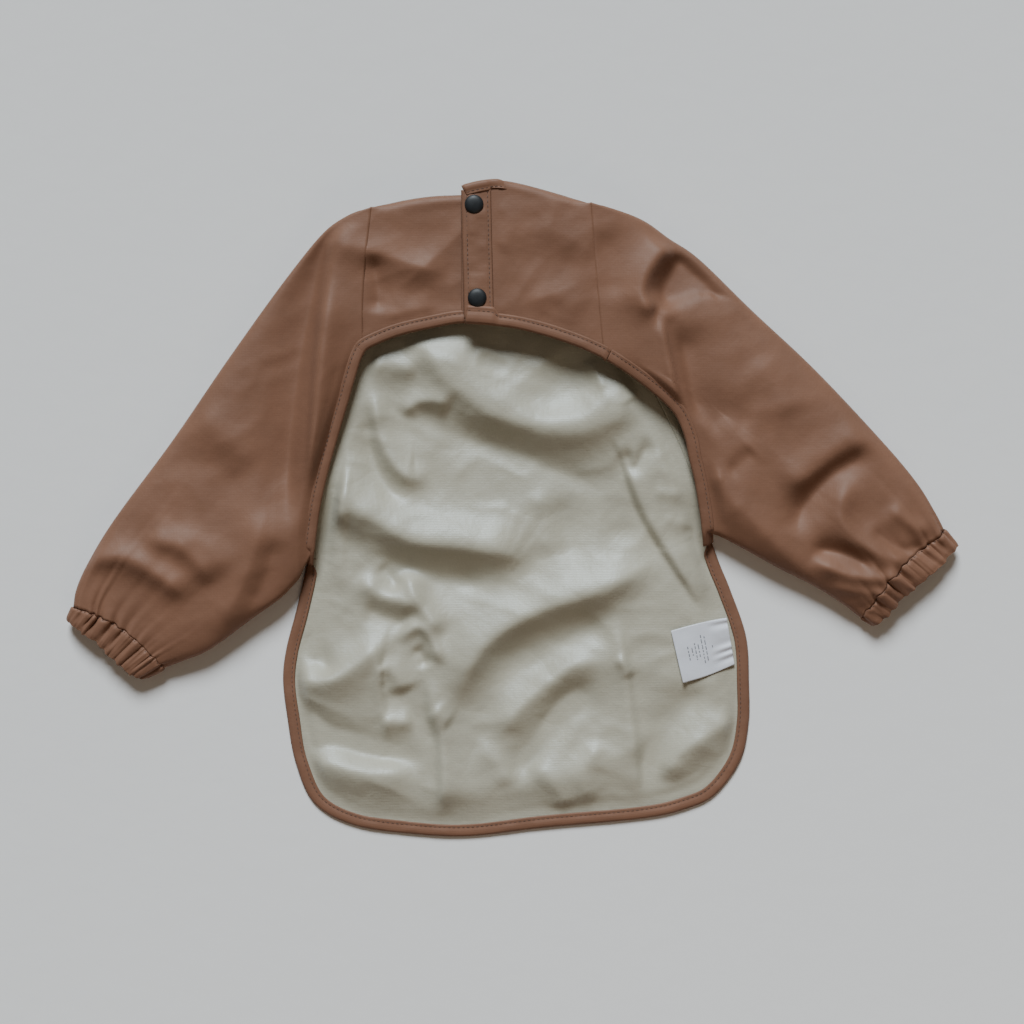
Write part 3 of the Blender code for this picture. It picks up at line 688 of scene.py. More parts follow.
def make_front():
    left, right, hem, neck = front_lines()
    u, v = np.linspace(0, 1, 190), np.linspace(0, 1, 236)
    xy = coons(left, right, hem, neck, u, v)
    outline = np.vstack([left[::-1], hem[1:], right[1:]])
    base = FRONT_BASE + 3.2 * ease((xy[..., 1] - 60) / 50)
    base = base + 4.0 * ease((xy[..., 0] - 30) / 45) * ease((xy[..., 1] - 15) / 45)
    z = panel_heights(xy, outline, FRONT_FOLDS, FRONT_STEPS, base)
    z = blurred(z, 2)
    soft_floor = POCKET_TOP + 0.35
    inside = ease((nearest(xy, outline)[0] - 9) / 8)
    low = soft_floor * inside + 0.6 * (1 - inside)
    z = low + np.log1p(np.exp((z - low) * 1.6)) / 1.6
    ceiling = 19.0 - 6.5 * ease((xy[..., 1] - 92) / 20)
    z = ceiling - np.log1p(np.exp((ceiling - z) * 0.8)) / 0.8
    edge_band = ease((nearest(xy, outline)[0] - 6.5) / 3)
    z = raglan_height(xy[..., 1]) * (1 - edge_band) + z * edge_band
    grid = np.dstack([xy, z])
    cloth = grid_object("front_cloth", grid, [CREAM, TAN])
    thicken(cloth, CLOTH, inside=1, rim=1)
    applied(cloth)
    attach(cloth, "front")
    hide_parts("front_panel")
    low_left, low_right = grid[:, 0, 1] <= HEM_END_LEFT, grid[:, -1, 1] <= HEM_END_RIGHT
    left_edge, right_edge = grid[low_left, 0], grid[low_right, -1]
    edge = np.vstack([left_edge[::-1], grid[0, 1:-1], right_edge])
    inner = np.vstack([grid[low_left, 5][::-1], grid[5, 1:-1], grid[low_right, -6]])
    pieces = folded_tape("hem_tape", edge, inner - edge, 6.4, 21, taper=9.0)
    pieces += folded_tape("front_neck_tape", grid[-1, 3:-3], (grid[-6] - grid[-1])[3:-3], 4.6, 22)
    for piece in pieces:
        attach(piece, "front")
    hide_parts("hem_binding")
    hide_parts("front_neck_binding")
    return grid


# ---------------------------------------------------------------- sleeves
SLEEVE_FOLDS = {
    "left": [
        ([(-264, -30), (-242, -31), (-226, -39), (-211, -49), (-202, -58)], 5.0, 10, 8, "e"),
        ([(-234, -16), (-209, -23), (-196, -34), (-188, -48)], 4.0, 9, 8, "se"),
        ([(-214, -12), (-189, -24), (-178, -42)], 2.0, 9, 9, "se"),
        ([(-154, 6), (-159, -20), (-166, -40), (-176, -62), (-188, -82)], 3.4, 12, 10, "se"),
        ([(-148, -16), (-156, -44), (-166, -64)], -2.0, 8, 8, "se"),
        ([(-200, 64), (-180, 46), (-158, 28)], 2.0, 12, 12, "se"),
        ([(-220, 34), (-190, 28), (-162, 16)], -1.6, 13, 13, "se"),
        ([(-118, 174), (-125, 140), (-133, 100), (-139, 60), (-142, 20), (-142, -18)], -7.5, 9, 21, "e"),
    ],
    "right": [
        ([(230, 50), (206, 36), (186, 23), (166, 12)], 4.0, 10, 13, "se"),
        ([(230, 40), (206, 27), (191, 13), (182, 0), (178, -18)], -5.6, 9, 9, "se"),
        ([(216, 22), (207, 6), (207, -8), (217, -21), (242, -34)], 4.6, 9, 9, "s"),
        ([(186, -31), (211, -41), (240, -46)], 4.2, 6, 6, "s"),
        ([(186, -24), (209, -27), (230, -38)], -3.6, 6, 5, "se"),
        ([(196, -48), (220, -52), (238, -55)], 2.6, 5, 5, "s"),
        ([(226, -12), (245, -26), (258, -26)], -2.2, 5, 4, "s"),
        ([(236, 2), (250, -9), (266, -16)], 2.2, 6, 5, "se"),
        ([(124, 18), (147, -4), (170, -28), (188, -46), (204, -60)], 3.0, 9, 15, "e"),
        ([(121, 22), (125.5, 17.8), (133, 22)], 1.3, 3.5, 3.5, "se"),
        ([(134, 22), (142, 30), (152, 39)], -1.6, 4, 6, "se"),
        ([(120, 50), (136, 60), (154, 56)], -2.2, 10, 10, "se"),
        ([(150, 96), (166, 76), (176, 56)], 1.8, 13, 13, "se"),
    ],
}
# Where cloth doubles over beside the arch: as FRONT_STEPS.
YOKE_STEPS = {
    "left": [([(-117, 152), (-121.5, 115), (-124.5, 80), (-127, 40), (-130, 6)], 5.0, 2.0, 20, "se")],
    "right": [([(108, 56), (104, 75), (100, 92), (96.5, 108), (94, 126)], 5.0, 1.6, 18, "e")],
}
YOKE_FOLDS = {
    "left": [
        ([(-112, 174), (-115, 140), (-118, 100), (-122, 60), (-127, 20), (-129, -4)], 3.6, 8, 7, "e"),
        ([(-104, 165), (-92, 163), (-78, 159), (-56, 152), (-38, 148)], 3.6, 10, 9, "e"),
        ([(-88, 162), (-86, 150), (-84, 136), (-85, 122)], -3.4, 7, 6, "se"),
        ([(-84, 134), (-70, 138), (-52, 136)], -1.0, 9, 9, "se"),
        ([(-80, 118), (-66, 124), (-46, 128)], 1.2, 8, 8, "se"),
    ],
    "right": [
        ([(108, 174), (100, 166), (91, 157), (84, 146), (81, 135), (84, 128)], 6.6, 5, 11, ""),
        ([(85, 127), (91, 129), (97, 123)], 3.2, 5, 4, ""),
        ([(92, 128), (97, 102), (101, 80), (105, 62)], 2.0, 9, 3.0, "s"),
        ([(112, 166), (103, 154), (96, 143), (95, 134), (99, 122)], -6.5, 34, 6, "e"),
        ([(104, 118), (109, 96), (113, 74), (116, 50)], -5.0, 17, 5, "se"),
        ([(58, 176), (62, 150), (66, 130)], -1.8, 10, 10, "se"),
        ([(14, 178), (36, 170), (54, 158)], 1.3, 10, 9, "se"),
        ([(2, 150), (20, 158), (44, 150)], -1.1, 11, 11, "se"),
        ([(8, 128), (26, 134), (48, 124)], 1.2, 9, 9, "se"),
        ([(-8, 196), (-2, 178), (-6, 158)], 0.9, 8, 9, "se"),
    ],
}


def yoke_relief(side, xy):
    """The folds that the back panel and the top of the sleeve share."""
    left = side == "left"
    arch = np.vstack([spline(ARCH_SIDE_LEFT if left else ARCH_SIDE_RIGHT, 50),
                      spline(ARCH_BACK_LEFT if left else ARCH_BACK_RIGHT, 30)[1:]])
    top = np.vstack([spline(TOP_BACK_LEFT if left else TOP_BACK_RIGHT, 30)[::-1],
                     spline(OUTER_LEFT if left else OUTER_RIGHT, 60)[1:]])
    seed = 31 if left else 41
    relief = folded(xy, YOKE_FOLDS[side])
    relief = relief + 1.3 * (crumpled(xy, 52, seed, 0.9, 1.8) - 0.6)
    relief = relief + 0.9 * (crumpled(xy, 22, seed + 2, 0.3, 1.5) - 0.6)
    relief = relief + 0.12 * noise(xy, 7, seed + 4)
    from_arch = nearest(xy, arch)[0]
    relief = relief * ease((from_arch - 6.5) / 9) + stepped(xy, YOKE_STEPS[side]) * ease((from_arch - 4.5) / 6)
    return relief * ease((nearest(xy, top)[0] - 1.5) / 9)


# How far the middle of the gathered seam at each cuff lies back from the line between its ends
CUFF_SEAM_BOW = {"left": 5.5, "right": 4.4}
CUFF_FLOOR, CUFF_HEIGHT, CUFF_RIPPLE = 0.8, 11.0, 2.3
SLEEVE_HEIGHT = {"left": (20.0, 16.5, 13.0), "right": (20.5, 17.0, 13.5)}


def sleeve_grid(side, lower):
    """One face of a sleeve and its shoulder, from the body (u = 0) to the cuff (u = 1), as points."""
    left = side == "left"
    outer = spline(OUTER_LEFT if left else OUTER_RIGHT, 160)
    under = spline(UNDER_LEFT if left else UNDER_RIGHT, 120)
    arch = inset(spline(ARCH_SIDE_LEFT if left else ARCH_SIDE_RIGHT, 80), 1.2 if left else -1.2)
    seam = spline(BACK_SEAM_LEFT if left else BACK_SEAM_RIGHT, 40)
    raglan = spline(RAGLAN_LEFT if left else RAGLAN_RIGHT, 80)
    back_z = LEFT_BACK_Z if left else RIGHT_BACK_Z
    u = np.concatenate([np.linspace(0, 0.22, 34)[:-1], np.linspace(0.22, 1, 92)])
    v = 0.5 - 0.5 * np.cos(np.linspace(0, 1, 84) * math.pi)
    v = 0.6 * v + 0.4 * np.linspace(0, 1, 84)
    top = outer
    if lower:
        rim = np.vstack([raglan, outer[:1]])
        rim_z = np.concatenate([raglan_height(raglan[:, 1]), [back_z]])
    else:
        rim = np.vstack([arch, seam[1:]])
        rim_z = np.concatenate([np.linspace(12.0, back_z, len(arch)), np.full(len(seam) - 1, back_z)])
    bottom = np.vstack([rim[:1], under])
    cuff = np.stack([np.linspace(under[-1, i], outer[-1, i], 40) for i in (0, 1)], 1)
    xy = coons(rim, cuff, bottom, top, u, v)
    steps = np.linalg.norm(np.diff(rim, axis=0), axis=1)
    run = np.concatenate([[0], np.cumsum(steps)]) / np.sum(steps)
    rim_height = np.interp(v, run, rim_z)
    s = 2 * v - 1
    body = np.interp(u, [0, 0.3, 0.75, 1.0], [SLEEVE_HEIGHT[side][0], *SLEEVE_HEIGHT[side]])
    middle = 0.6 + body / 2
    profile = (1 - np.abs(s) ** 3.2) ** 0.42
    if lower:
        tube = middle[None] - (body / 2)[None] * profile[:, None]
    else:
        tube = middle[None] + (body / 2)[None] * profile[:, None]
    start = ease(u / 0.20)[None]
    free = 1.0 - np.exp(-((1 - np.abs(s)) / 0.10) ** 1.5)
    z = rim_height[:, None] * (1 - start) + tube * start
    if not lower:
        far = ease((nearest(xy, np.vstack([arch, seam[1:]]))[0] - 6.5) / 9)
        z = z + yoke_relief(side, xy) + 1.25 * folded(xy, SLEEVE_FOLDS[side]) * free[:, None] * far
    else:
        z = z + 0.7 * noise(xy, 24, 51) * free[:, None] * ease(u / 0.1)[None]
        z = np.maximum(z, 0.45)
    return np.dstack([xy, z]), u, v


def round_ring(share):
    """Places on a circle, so that noise read there joins up with itself."""
    return np.stack([np.cos(share * math.tau) * 60, np.sin(share * math.tau) * 60], -1)


def gathers(t, seed, count=14):
    """Rounded ridges with sharp valleys between them, round a gathered ring (t from 0 to 1)."""
    place = round_ring(t)
    phase = 2.6 * noise(place, 17, seed)
    size = 0.85 + 0.55 * noise(place, 11, seed + 1)
    ridges = np.abs(np.sin(math.pi * count * t + phase)) ** 0.7 - 0.66
    return ridges * size + 0.14 * noise(place, 3.2, seed + 2)


def make_sleeve(side):
    left = side == "left"
    upper, u, v = sleeve_grid(side, False)
    lower, _, _ = sleeve_grid(side, True)
    ring = np.vstack([upper[:, -1], lower[::-1, -1][1:], upper[:1, -1]])
    run = np.concatenate([[0], np.cumsum(np.linalg.norm(np.diff(ring, axis=0), axis=1))])
    shares = run / run[-1]
    from_cuff = (1 - u) * SLEEVE_RUN
    spread = np.exp(-from_cuff / 9)[None] * 2.2 + np.exp(-from_cuff / 30)[None] * 0.8
    firm = np.clip((1 - np.abs(2 * v - 1)) / 0.08, 0, 1)[:, None]
    upper[..., 2] += gathers(shares[: len(v)], 131 if left else 141)[:, None] * spread * firm
    low_shares = shares[len(v) - 1 : 2 * len(v) - 1][::-1]
    lower[..., 2] -= gathers(low_shares, 131 if left else 141)[:, None] * spread * firm
    lower[..., 2] = np.maximum(lower[..., 2], 0.45)
    axis = unit(ring.mean(0)[:2] - upper[:, len(u) // 2, :2].mean(0))
    for face, share in ((upper, shares[: len(v)]), (lower, low_shares)):
        wander = 1.2 * noise(round_ring(share), 8.0, 135 if left else 145)
        bow = CUFF_SEAM_BOW[side] * (1 - (2 * v - 1) ** 2)
        moved = wander[:, None] * np.exp(-from_cuff / 6)[None] - bow[:, None] * np.exp(-from_cuff / 18)[None]
        face[..., :2] += axis * moved[..., None]
    tie = 4
    for r in (0, -1):
        ridge = (upper[r, tie:] + lower[r, tie:]) / 2
        upper[r, tie:] = ridge
        lower[r, tie:] = ridge
    upper[..., 2] = blurred(upper[..., 2], 1)
    lower[..., 2] = blurred(lower[..., 2], 1)
    for r in (0, -1):
        lower[r, tie:] = upper[r, tie:]
    rows, columns = upper.shape[:2]
    vertices = np.vstack([upper.reshape(-1, 3), lower.reshape(-1, 3)])
    up_faces = grid_faces(rows, columns)
    low_faces = grid_faces(rows, columns, rows * columns)
    if left:
        up_faces = [face[::-1] for face in up_faces]
    else:
        low_faces = [face[::-1] for face in low_faces]
    sleeve = mesh_object(f"{side}_sleeve_cloth", vertices, up_faces + low_faces, [TAN, CREAM], vertices[:, :2])
    weld(sleeve, 0.02)
    thicken(sleeve, CLOTH, inside=1, rim=0)
    applied(sleeve)
    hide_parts(f"{side}_sleeve", f"{side}_shoulder")
    blend_arm(sleeve, side)
    edge = upper[:, 0]
    seam_start = np.array((BACK_SEAM_LEFT if left else BACK_SEAM_RIGHT)[0])
    corner = np.argmin(np.linalg.norm(edge[:, :2] - seam_start, axis=1))
    edge, inner = upper[: corner + 1, 0], upper[: corner + 1, 4]
    inward = inner - edge
    onward = unit(edge[0] - edge[4]) * np.array([1, 1, 0])
    reach = np.array([onward * step + np.array([0, 0, -0.55 * step]) for step in (7.0, 4.5, 2.0)])
    edge, inward = np.vstack([edge[:1] + reach, edge]), np.vstack([inward[:1]] * 3 + [inward])
    tapes = folded_tape(f"{side}_arch_side_tape", edge, inward, 6.6, 61, meet=(-1, MITRE[side]))
    for piece in tapes:
        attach(piece, "front")
    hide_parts(f"{side}_arch_side_binding")
    return upper, lower


def blend_arm(piece, side):
    """Bakes the piece's placement into its mesh; the direction out from the fold line is worked out but not used."""
    (x0, y0), (x1, y1) = FOLD_LEFT if side == "left" else FOLD_RIGHT
    along = unit(np.array([x1 - x0, y1 - y0]))
    out = np.array([along[1], -along[0]])
    if (out[0] > 0) == (side == "left"):
        out = -out
    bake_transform(piece)


# ---------------------------------------------------------------- cuffs


def make_cuff(side, upper, lower):
    """A gathered hem channel with elastic in it."""
    left = side == "left"
    mouth = spline(CUFF_MOUTH_LEFT if left else CUFF_MOUTH_RIGHT, 60)
    top_in, low_in = upper[:, -1], lower[:, -1]
    ring_in = np.vstack([top_in, low_in[::-1][1:-1]])
    around = 420
    closed = np.vstack([ring_in, ring_in[:1]])
    ring_in = spaced(closed, around + 1)[:-1]
    s = np.linspace(0, 1, 120)
    profile = (1 - np.abs(2 * s - 1) ** 3.0) ** 0.45
    far = spaced(mouth[::-1], 120)
    far_top = np.column_stack([far, CUFF_FLOOR + CUFF_HEIGHT / 2 + profile * CUFF_HEIGHT / 2])
    far_low = np.column_stack([far, CUFF_FLOOR + CUFF_HEIGHT / 2 - profile * CUFF_HEIGHT / 2])
    ring_out = spaced(np.vstack([far_top, far_low[::-1][1:], far_top[:1]]), around + 1)[:-1]
    centre_in, centre_out = ring_in.mean(0), ring_out.mean(0)
    t = np.arange(around) / around
    gather = gathers(t, 131 if left else 141)
    mouth_gather = 0.5 * gathers(t, 133 if left else 143, 11)
    lengths = [0.0, 0.03, 0.07, 0.13, 0.22, 0.32, 0.43, 0.54, 0.65, 0.75, 0.84, 0.91, 0.96, 0.99, 1.0]
    axis = unit(centre_out - centre_in)

    across = unit(mouth[-1] - mouth[0])
    half = np.linalg.norm(mouth[-1] - mouth[0]) / 2
    reach = np.clip(np.abs((ring_out - centre_out)[:, :2] @ across) / half, 0, 1)
    mouth_wave = 0.9 * noise(round_ring(t), 7.0, 137 if left else 147) + 0.5 * gather
    ring_out = ring_out + axis * (mouth_wave - 1.8 * reach**7)[:, None]

    def outwards(ring):
        ahead, behind = np.roll(ring, -4, axis=0), np.roll(ring, 4, axis=0)
        normal = unit(np.cross(ahead - behind, axis))
        return normal * np.sign(np.sum(normal * (ring - ring.mean(0))))

    layers = []
    for leaf in (1, -1):
        for a in lengths if leaf > 0 else lengths[::-1][1:]:
            base = ring_in * (1 - a) + ring_out * a
            out = outwards(base)
            waist = 1 - 0.75 * math.exp(-((a / 0.07) ** 2)) - 0.55 * ease((a - 0.80) / 0.20)
            ripple = (gather * (1 - a) + mouth_gather * a) * CUFF_RIPPLE
            depth = leaf * (0.35 + 0.95 * waist) + ripple * (1.0 if leaf > 0 else 0.85)
            layers.append(base + out * depth[:, None])
    points = np.array(layers)
    points[..., 2] = np.maximum(points[..., 2], 0.35)
    cuff = grid_object(f"{side}_cuff_cloth", points, [TAN, TAN], closed=True, flip=not left)
    thicken(cuff, 0.4, inside=1, offset=-1)
    applied(cuff)
    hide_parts(f"{side}_cuff")
    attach(cuff, f"{side}_arm")
    out = outwards(ring_in)
    line = ring_in * 0.96 + ring_out * 0.04 + out * (0.75 + 2.25 * gather[:, None])
    line[:, 2] = np.maximum(line[:, 2], 0.6)
    row = stitches(f"{side}_cuff_stitches", np.vstack([line, line[:1]]), np.vstack([out, out[:1]]), 2.6, 1.8, 0.22)
    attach(row, f"{side}_arm")
    band = []
    for a in (0.30, 0.40, 0.49, 0.58, 0.68):
        base = ring_in * (1 - a) + ring_out * a
        ripple = (gather * (1 - a) + mouth_gather * a) * CUFF_RIPPLE * 0.92
        band.append(base + outwards(base) * ripple[:, None])
    band = np.array(band)
    band[..., 2] = np.maximum(band[..., 2], 1.3)
    elastic = grid_object(f"{side}_cuff_elastic_band", band, [ELASTIC], closed=True, flip=left)
    thicken(elastic, 0.5, inside=0)
    applied(elastic)
    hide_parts(f"{side}_cuff_elastic")
    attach(elastic, f"{side}_arm")


# ---------------------------------------------------------------- the back
SNAPS = {"upper": (-23.7, 191.2), "lower": (-21.7, 132.8)}
CAP = [(0, 3.5), (1.4, 3.47), (2.6, 3.38), (3.6, 3.22), (4.5, 2.95), (5.2, 2.6), (5.65, 2.25), (5.88, 1.85), (5.8, 1.5),
       (1.5, 1.5), (1.5, -2.0), (0, -2.0)]
SOCKET = [(4.6, -1.55), (4.9, -2.2), (4.6, -3.5), (2.7, -3.5), (2.7, -2.3), (1.8, -2.2), (1.8, -1.55)]
STUD = [(2.0, 3.4), (2.3, 3.1), (2.1, 2.1), (4.6, 2.0), (4.7, 1.6), (1.5, 1.6), (1.5, 3.4)]
POST = [(0, 3.1), (1.15, 3.0), (1.2, -1.6), (4.8, -1.6), (4.9, -2.0), (4.4, -2.5), (0, -2.6)]


def follow_back(piece):
    """Bakes the piece's placement into its mesh."""
    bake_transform(piece)


def back_height(xy, side):
    """Height of a back panel over its plan, flat along its edges."""
    left = side == "left"
    at_placket = ease((-xy[..., 0] - 20) / 16) if left else ease((xy[..., 0] + 15) / 10)
    return (LEFT_BACK_Z if left else RIGHT_BACK_Z) + yoke_relief(side, xy) * at_placket


def placket_tape(side, edge, inward):
    """The wide folded strip that carries the snaps, with a row of stitches near each of its edges."""
    edge, inward = resampled(edge, [inward], 1.1)
    run = run_of(edge)
    inward = unit(inward - run * np.sum(inward * run, 1)[:, None])
    up = np.tile([0.0, 0.0, 1.0], (len(edge), 1))
    along = np.linspace(0, np.linalg.norm(edge[-1] - edge[0]), len(edge))
    wide = PLACKET_WIDTH[side]
    inner_half = np.array([17.2, 16.9, 16.1, 15.3, 14.5, 13.4, 11.4, 9.0, 6.6])
    outer_half = np.array([4.4, 2.9, 2.0, 1.1, 0.3, -0.5, -1.15])
    xs = np.concatenate([wide - PLACKET_WIDTH["right"] + inner_half, outer_half])
    hs = np.array([0.60, 0.86, 0.94, 0.68, 0.96, 1.08, 1.10, 1.10, 1.10, 1.06, 0.96, 0.68, 0.98, 1.0, 0.76, 0.0])
    hs = hs * TAPE_HALF
    across = np.concatenate([xs, xs[-2::-1]])
    heights = np.concatenate([hs, -hs[-2::-1]])
    place = np.stack(np.broadcast_arrays(along[:, None], across[None]), -1)
    seed = 91 if side == "left" else 95
    pucker = 0.75 * noise(place * np.array([1.0, 0.3]), 5.0, seed) + 0.30 * noise(place, 15, seed + 1)
    inner = np.clip(np.minimum(place[..., 1] - 0.6, wide - 1.6 - place[..., 1]) / 4.0, 0, 1)
    points = edge[:, None] + inward[:, None] * across[None, :, None]
    points = points + up[:, None] * (heights[None] + pucker * inner * np.sign(heights))[..., None]
    uv = np.stack([place[..., 0], place[..., 1] + 40], -1)
    tape = grid_object(f"{side}_placket_tape", points, [TAN, TAPE_TAN], uv=uv)
    thicken(tape, 0.35, inside=1)
    rows = [tape]
    for index, where in enumerate((2.0, wide - 1.9)):
        for face in (1, -1):
            path = edge + inward * where + up * face * (0.68 * TAPE_HALF + 0.33)
            rows.append(stitches(f"{side}_placket_stitches_{index}_{'top' if face > 0 else 'under'}", path, up * face))
    for piece in rows:
        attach(piece, f"{side}_back")
    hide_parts(f"{side}_placket")


def make_back(side):
    left = side == "left"
    turn = 1 if left else -1
    seam = spline(BACK_SEAM_LEFT if left else BACK_SEAM_RIGHT, 40)
    low = inset(spline(ARCH_BACK_LEFT if left else ARCH_BACK_RIGHT, 60), turn * 1.5)
    high = inset(spline(TOP_BACK_LEFT if left else TOP_BACK_RIGHT, 60), -turn * (0.4 if left else 1.0))
    seam[:, 0] -= turn * 0.9
    low[0], high[0] = seam[0], seam[-1]
    low[-1] += np.array([-turn * 1.5, 0])
    high[-1] += np.array([-turn * 1.5, 0])
    centre = np.stack([np.linspace(low[-1, i], high[-1, i], 60) for i in (0, 1)], 1)
    u, v = np.linspace(0, 1, 84), np.linspace(0, 1, 90)
    xy = coons(seam, centre, low, high, u, v)
    grid = np.dstack([xy, back_height(xy, side)])
    rolled = ease((0.74 - u) / 0.16) if not left else np.ones(len(u))
    depth = np.array([np.linalg.norm(grid[-1, c, :2] - grid[:, c, :2], axis=1) for c in range(len(u))]).T
    from_seam = ease(np.linalg.norm(grid[-1, :, :2] - grid[-1, 0, :2], axis=1) / 14)
    grid[..., 2] -= 4.2 * (rolled * from_seam)[None] * (1 - np.sqrt(1 - np.clip(1 - depth / 5.5, 0, 1) ** 2))
    grid[:, 0, 2] -= 0.55
    panel = grid_object(f"{side}_back_cloth", grid, [TAN, CREAM], flip=not left)
    thicken(panel, CLOTH, inside=1)
    applied(panel)
    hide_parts(f"{side}_back_panel")
    follow_back(panel)
    over = None if left else (0.795, 1.55, 1.75)
    seed = 101 if left else 111
    arch_tapes = folded_tape(f"{side}_arch_tape", grid[0], grid[6] - grid[0], 6.6, seed, over, (0, MITRE[side]))
    over = None if left else (0.795, 1.25, 1.75)
    neck_in = grid[-4] - grid[-1]
    tuck = rolled[:, None] * np.array([0, -3.4, -2.6])
    neck_tapes = folded_tape(f"{side}_neck_tape", grid[-1] + tuck, neck_in, 4.8, 103 if left else 113, over)
    for piece in (*arch_tapes, *neck_tapes):
        follow_back(piece)
    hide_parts(f"{side}_arch_binding")
    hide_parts(f"{side}_neck_binding")
    placket_tape(side, grid[2:-2, -1], grid[2:-2, -5] - grid[2:-2, -1])
    return grid


def make_snaps():
    for place, (x, y) in SNAPS.items():
        for kind, profile, z, side, loop in (
            ("cap", CAP, RIGHT_BACK_Z, "right", False),
            ("socket", SOCKET, RIGHT_BACK_Z, "right", True),
            ("stud", STUD, LEFT_BACK_Z, "left", True),
            ("post", POST, LEFT_BACK_Z, "left", False),
        ):
            made = turned(f"{place}_snap_{kind}_turned", profile, (x, y, z), BLACK, loop=loop)
            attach(made, f"{side}_back")
            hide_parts(f"{place}_snap_{kind}")


# ---------------------------------------------------------------- underneath, and the care label
POCKET_LEFT = [(-116, -177), (-127, -152), (-132, -127), (-133, -105)]
POCKET_HEM = [(-116, -177), (-97, -187), (-62, -192.5), (-27, -193.8), (20, -188.8), (84, -182.8), (108, -177),
              (121, -170)]
POCKET_RIGHT = [(121, -170), (133, -154), (137.5, -132), (137.5, -110), (134, -76)]
LABEL_SEWN = ((136, -68), (141, -97.5))
LABEL_FREE = ((100.4, -76), (108, -109))
# Rows of plain marks on the label: where each lies across it and half its length, as shares. They spell nothing.
LABEL_MARKS = [(0.22, 0.13), (0.29, 0.09), (0.35, 0.16), (0.41, 0.12), (0.48, 0.28), (0.54, 0.24), (0.66, 0.03)]


def make_pocket():
    u, v = np.linspace(0, 1, 120), np.linspace(0, 1, 50)
    mouth = np.array([POCKET_LEFT[-1], POCKET_RIGHT[-1]], float)
    xy = coons(spline(POCKET_LEFT), spline(POCKET_RIGHT), spline(POCKET_HEM), mouth, u, v)
    z = 0.42 + 0.1 * noise(xy, 18, 5)
    pocket = grid_object("pocket_cloth", np.dstack([xy, z]), [CREAM, TAN])
    thicken(pocket, 0.6, inside=1)
    applied(pocket)
    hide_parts("front_pocket")
    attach(pocket, "front")
    top = spaced(mouth, np.linspace(0.02, 0.98, 120))
    rows = [np.column_stack([inset(top, -a), np.full(120, 1.42)]) for a in (12.0, 11.6, 9, 6, 3, 0.7, 0.4)]
    band = np.array(rows)
    band[0, :, 2] -= 0.15
    band[-1, :, 2] -= 0.15
    band[..., 2] += 0.08 * noise(band[..., :2], 9, 8)
    hem = grid_object("pocket_hem_tape", band, [TAPE_TAN])
    thicken(hem, 0.4, inside=0)
    applied(hem)
    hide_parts("pocket_hem")
    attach(hem, "front")
    path = np.column_stack([inset(top, -10.6), np.full(120, 0.10)])
    row = stitches("pocket_hem_stitches", path, np.tile([0, 0, -1.0], (120, 1)), radius=0.14, lift=-0.02)
    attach(row, "front")


def height_at(grid, xy):
    """The height of the front cloth under each point."""
    flat = grid.reshape(-1, 3)
    near = flat[(np.abs(flat[:, 0] - 121) < 34) & (np.abs(flat[:, 1] + 88) < 34)]
    away = np.linalg.norm(xy.reshape(-1, 1, 2) - near[None, :, :2], axis=2)
    pull = np.exp(-((away / 3.0) ** 2))
    return ((pull @ near[:, 2]) / pull.sum(1)).reshape(xy.shape[:-1])


def make_label(front):
    s, t = np.linspace(0, 1, 60), np.linspace(0, 1, 44)
    sewn, free = np.array(LABEL_SEWN, float), np.array(LABEL_FREE, float)
    a = free[0] + (free[1] - free[0]) * t[:, None]
    b = sewn[0] + (sewn[1] - sewn[0]) * t[:, None]
    xy = a[:, None] * (1 - s)[None, :, None] + b[:, None] * s[None, :, None]
    bow = np.sin(s * math.pi)[None] * (0.5 - t)[:, None]
    xy[..., 1] += bow * 1.6
    z = height_at(front, xy)
    z = blurred(z, 6) + 1.25
    pleats = np.sin(t[:, None] * 26 + 2.0 * np.sin(t[:, None] * 9)) * ease((s[None] - 0.55) / 0.35) * 0.55
    curl = 1.1 * ease((0.12 - s[None]) / 0.12) * (0.4 + 0.6 * t[:, None])
    roll = 0.5 * np.sin(s[None] * 5.0 + 0.8) * (0.3 + 0.7 * t[:, None])
    z = z + pleats + curl + roll * ease((1 - s[None]) / 0.2)
    grid = np.dstack([xy, z])
    label = grid_object("label_cloth", grid, [LABEL])
    thicken(label, 0.25, inside=0)
    applied(label)
    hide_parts("care_label")
    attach(label, "label")
    bars, faces = [], []
    rng = np.random.default_rng(12)
    for across, half_length in LABEL_MARKS:
        at = 0.5 - half_length
        while at < 0.5 + half_length - 0.02:
            length = rng.uniform(0.03, 0.10)
            for edge in (-0.009, 0.009):
                for share in np.linspace(at, min(at + length, 0.5 + half_length), 6):
                    c, r = (across + edge) * (len(s) - 1), share * (len(t) - 1)
                    c0, r0 = int(c), int(r)
                    low = grid[r0, c0] + (grid[r0, c0 + 1] - grid[r0, c0]) * (c - c0)
                    high = grid[r0 + 1, c0] + (grid[r0 + 1, c0 + 1] - grid[r0 + 1, c0]) * (c - c0)
                    bars.append(low + (high - low) * (r - r0) + np.array([0, 0, 0.165]))
            start = len(bars) - 12
            faces += [(start + k + 6, start + k + 7, start + k + 1, start + k) for k in range(5)]
            at += length + rng.uniform(0.015, 0.03)
    marks = mesh_object("label_print", np.array(bars), faces, [PRINT])
    thicken(marks, 0.04, inside=0, offset=0)
    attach(marks, "label")


# ---------------------------------------------------------------- build
front_grid = make_front()
for side in ("left", "right"):
    upper, lower = make_sleeve(side)
    make_cuff(side, upper, lower)
    make_back(side)
make_snaps()
make_pocket()
make_label(front_grid)

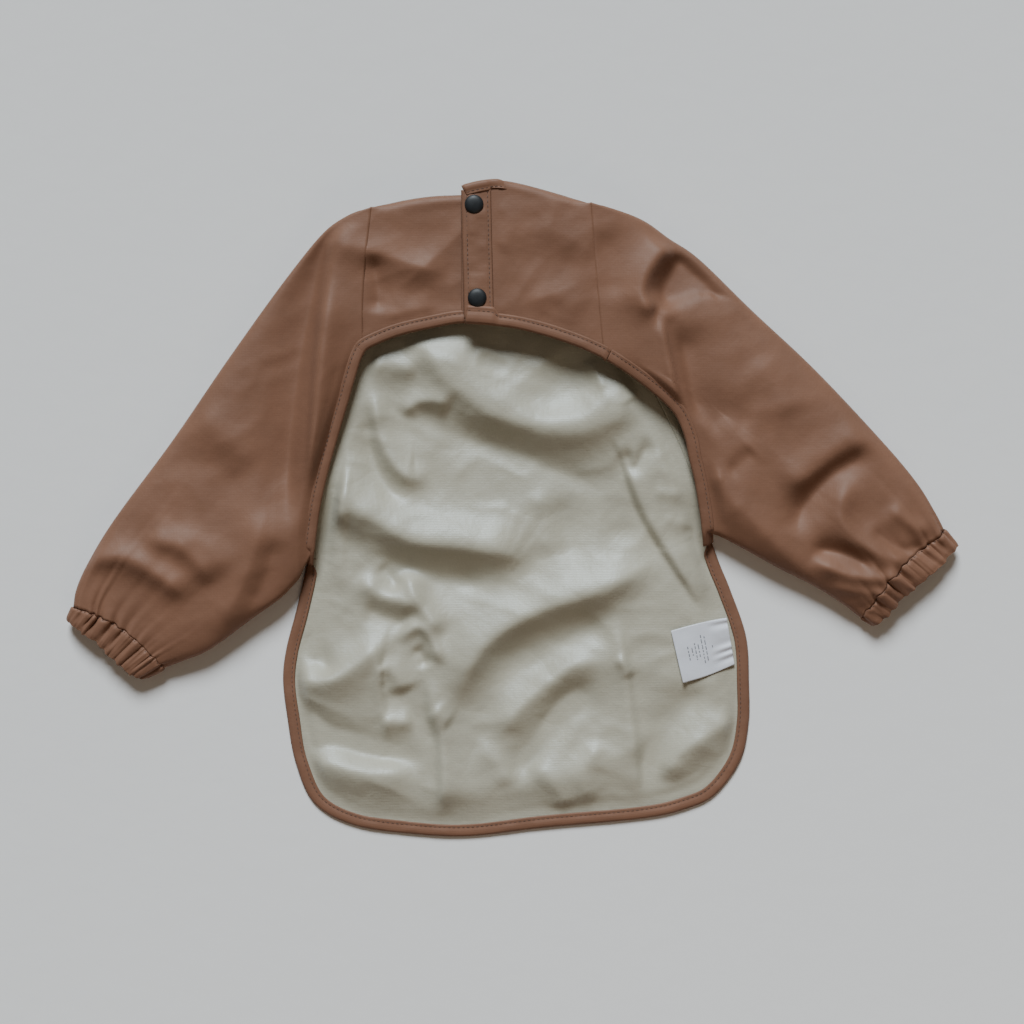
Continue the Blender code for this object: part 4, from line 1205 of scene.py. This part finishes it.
# ---------------------------------------------------------------- stage, lights and camera


FLOOR_REACH = 14000.0


def make_floor():
    line = np.linspace(-FLOOR_REACH, FLOOR_REACH, 60)
    x, y = np.meshgrid(line, line)
    z = np.full_like(x, -0.05)
    shader = Shader("pale_studio_floor", (0.90, 0.90, 0.89), 0.85)
    place = shader.position()
    shader.link(shader.ramp(shader.noise(place, 3.0), (0.89, 0.89, 0.885), (0.92, 0.92, 0.915)), "Base Color")
    shader.bump([(shader.noise(place, 60.0), 0.0002)])
    floor = grid_object("studio_floor", np.dstack([x, y, z]), [shader.material])


def light(kind, name, place, target, power, colour, size):
    """A lamp pointed at a target; size is a sun's apparent angle, or the sides of an area light."""
    data = bpy.data.lights.new(name, kind)
    data.energy = power
    data.color = colour
    if kind == "SUN":
        data.angle = size
    else:
        data.shape = "RECTANGLE"
        data.size, data.size_y = size
    lamp = bpy.data.objects.new(name, data)
    bpy.context.scene.collection.objects.link(lamp)
    lamp.location = place
    direction = Vector(target) - Vector(place)
    lamp.rotation_euler = direction.to_track_quat("-Z", "Y").to_euler()


make_floor()
light("SUN", "window", (-0.20, 1.62, 1.25), (0, 0, 0), 4.3, (0.88, 0.95, 1.0), math.radians(24))
light("AREA", "warm_fill", (0.6, -1.6, 1.2), (0, 0, 0), 5.0, (1.0, 0.74, 0.52), (1.4, 1.0))

world = bpy.data.worlds.new("pale_room")
world.use_nodes = True
world.node_tree.nodes["Background"].inputs["Color"].default_value = (1.0, 0.87, 0.72, 1)
world.node_tree.nodes["Background"].inputs["Strength"].default_value = 0.09
bpy.context.scene.world = world

FRAME_WIDTH = 0.6451
lens, sensor = 85.0, 36.0
camera_data = bpy.data.cameras.new("photo_camera")
camera_data.lens = lens
camera_data.sensor_width = sensor
camera = bpy.data.objects.new("photo_camera", camera_data)
bpy.context.scene.collection.objects.link(camera)
camera.location = (0.0, -0.00095, FRAME_WIDTH * lens / sensor + 0.012)
camera.rotation_euler = (0.0, 0.0, 0.0)
bpy.context.scene.camera = camera
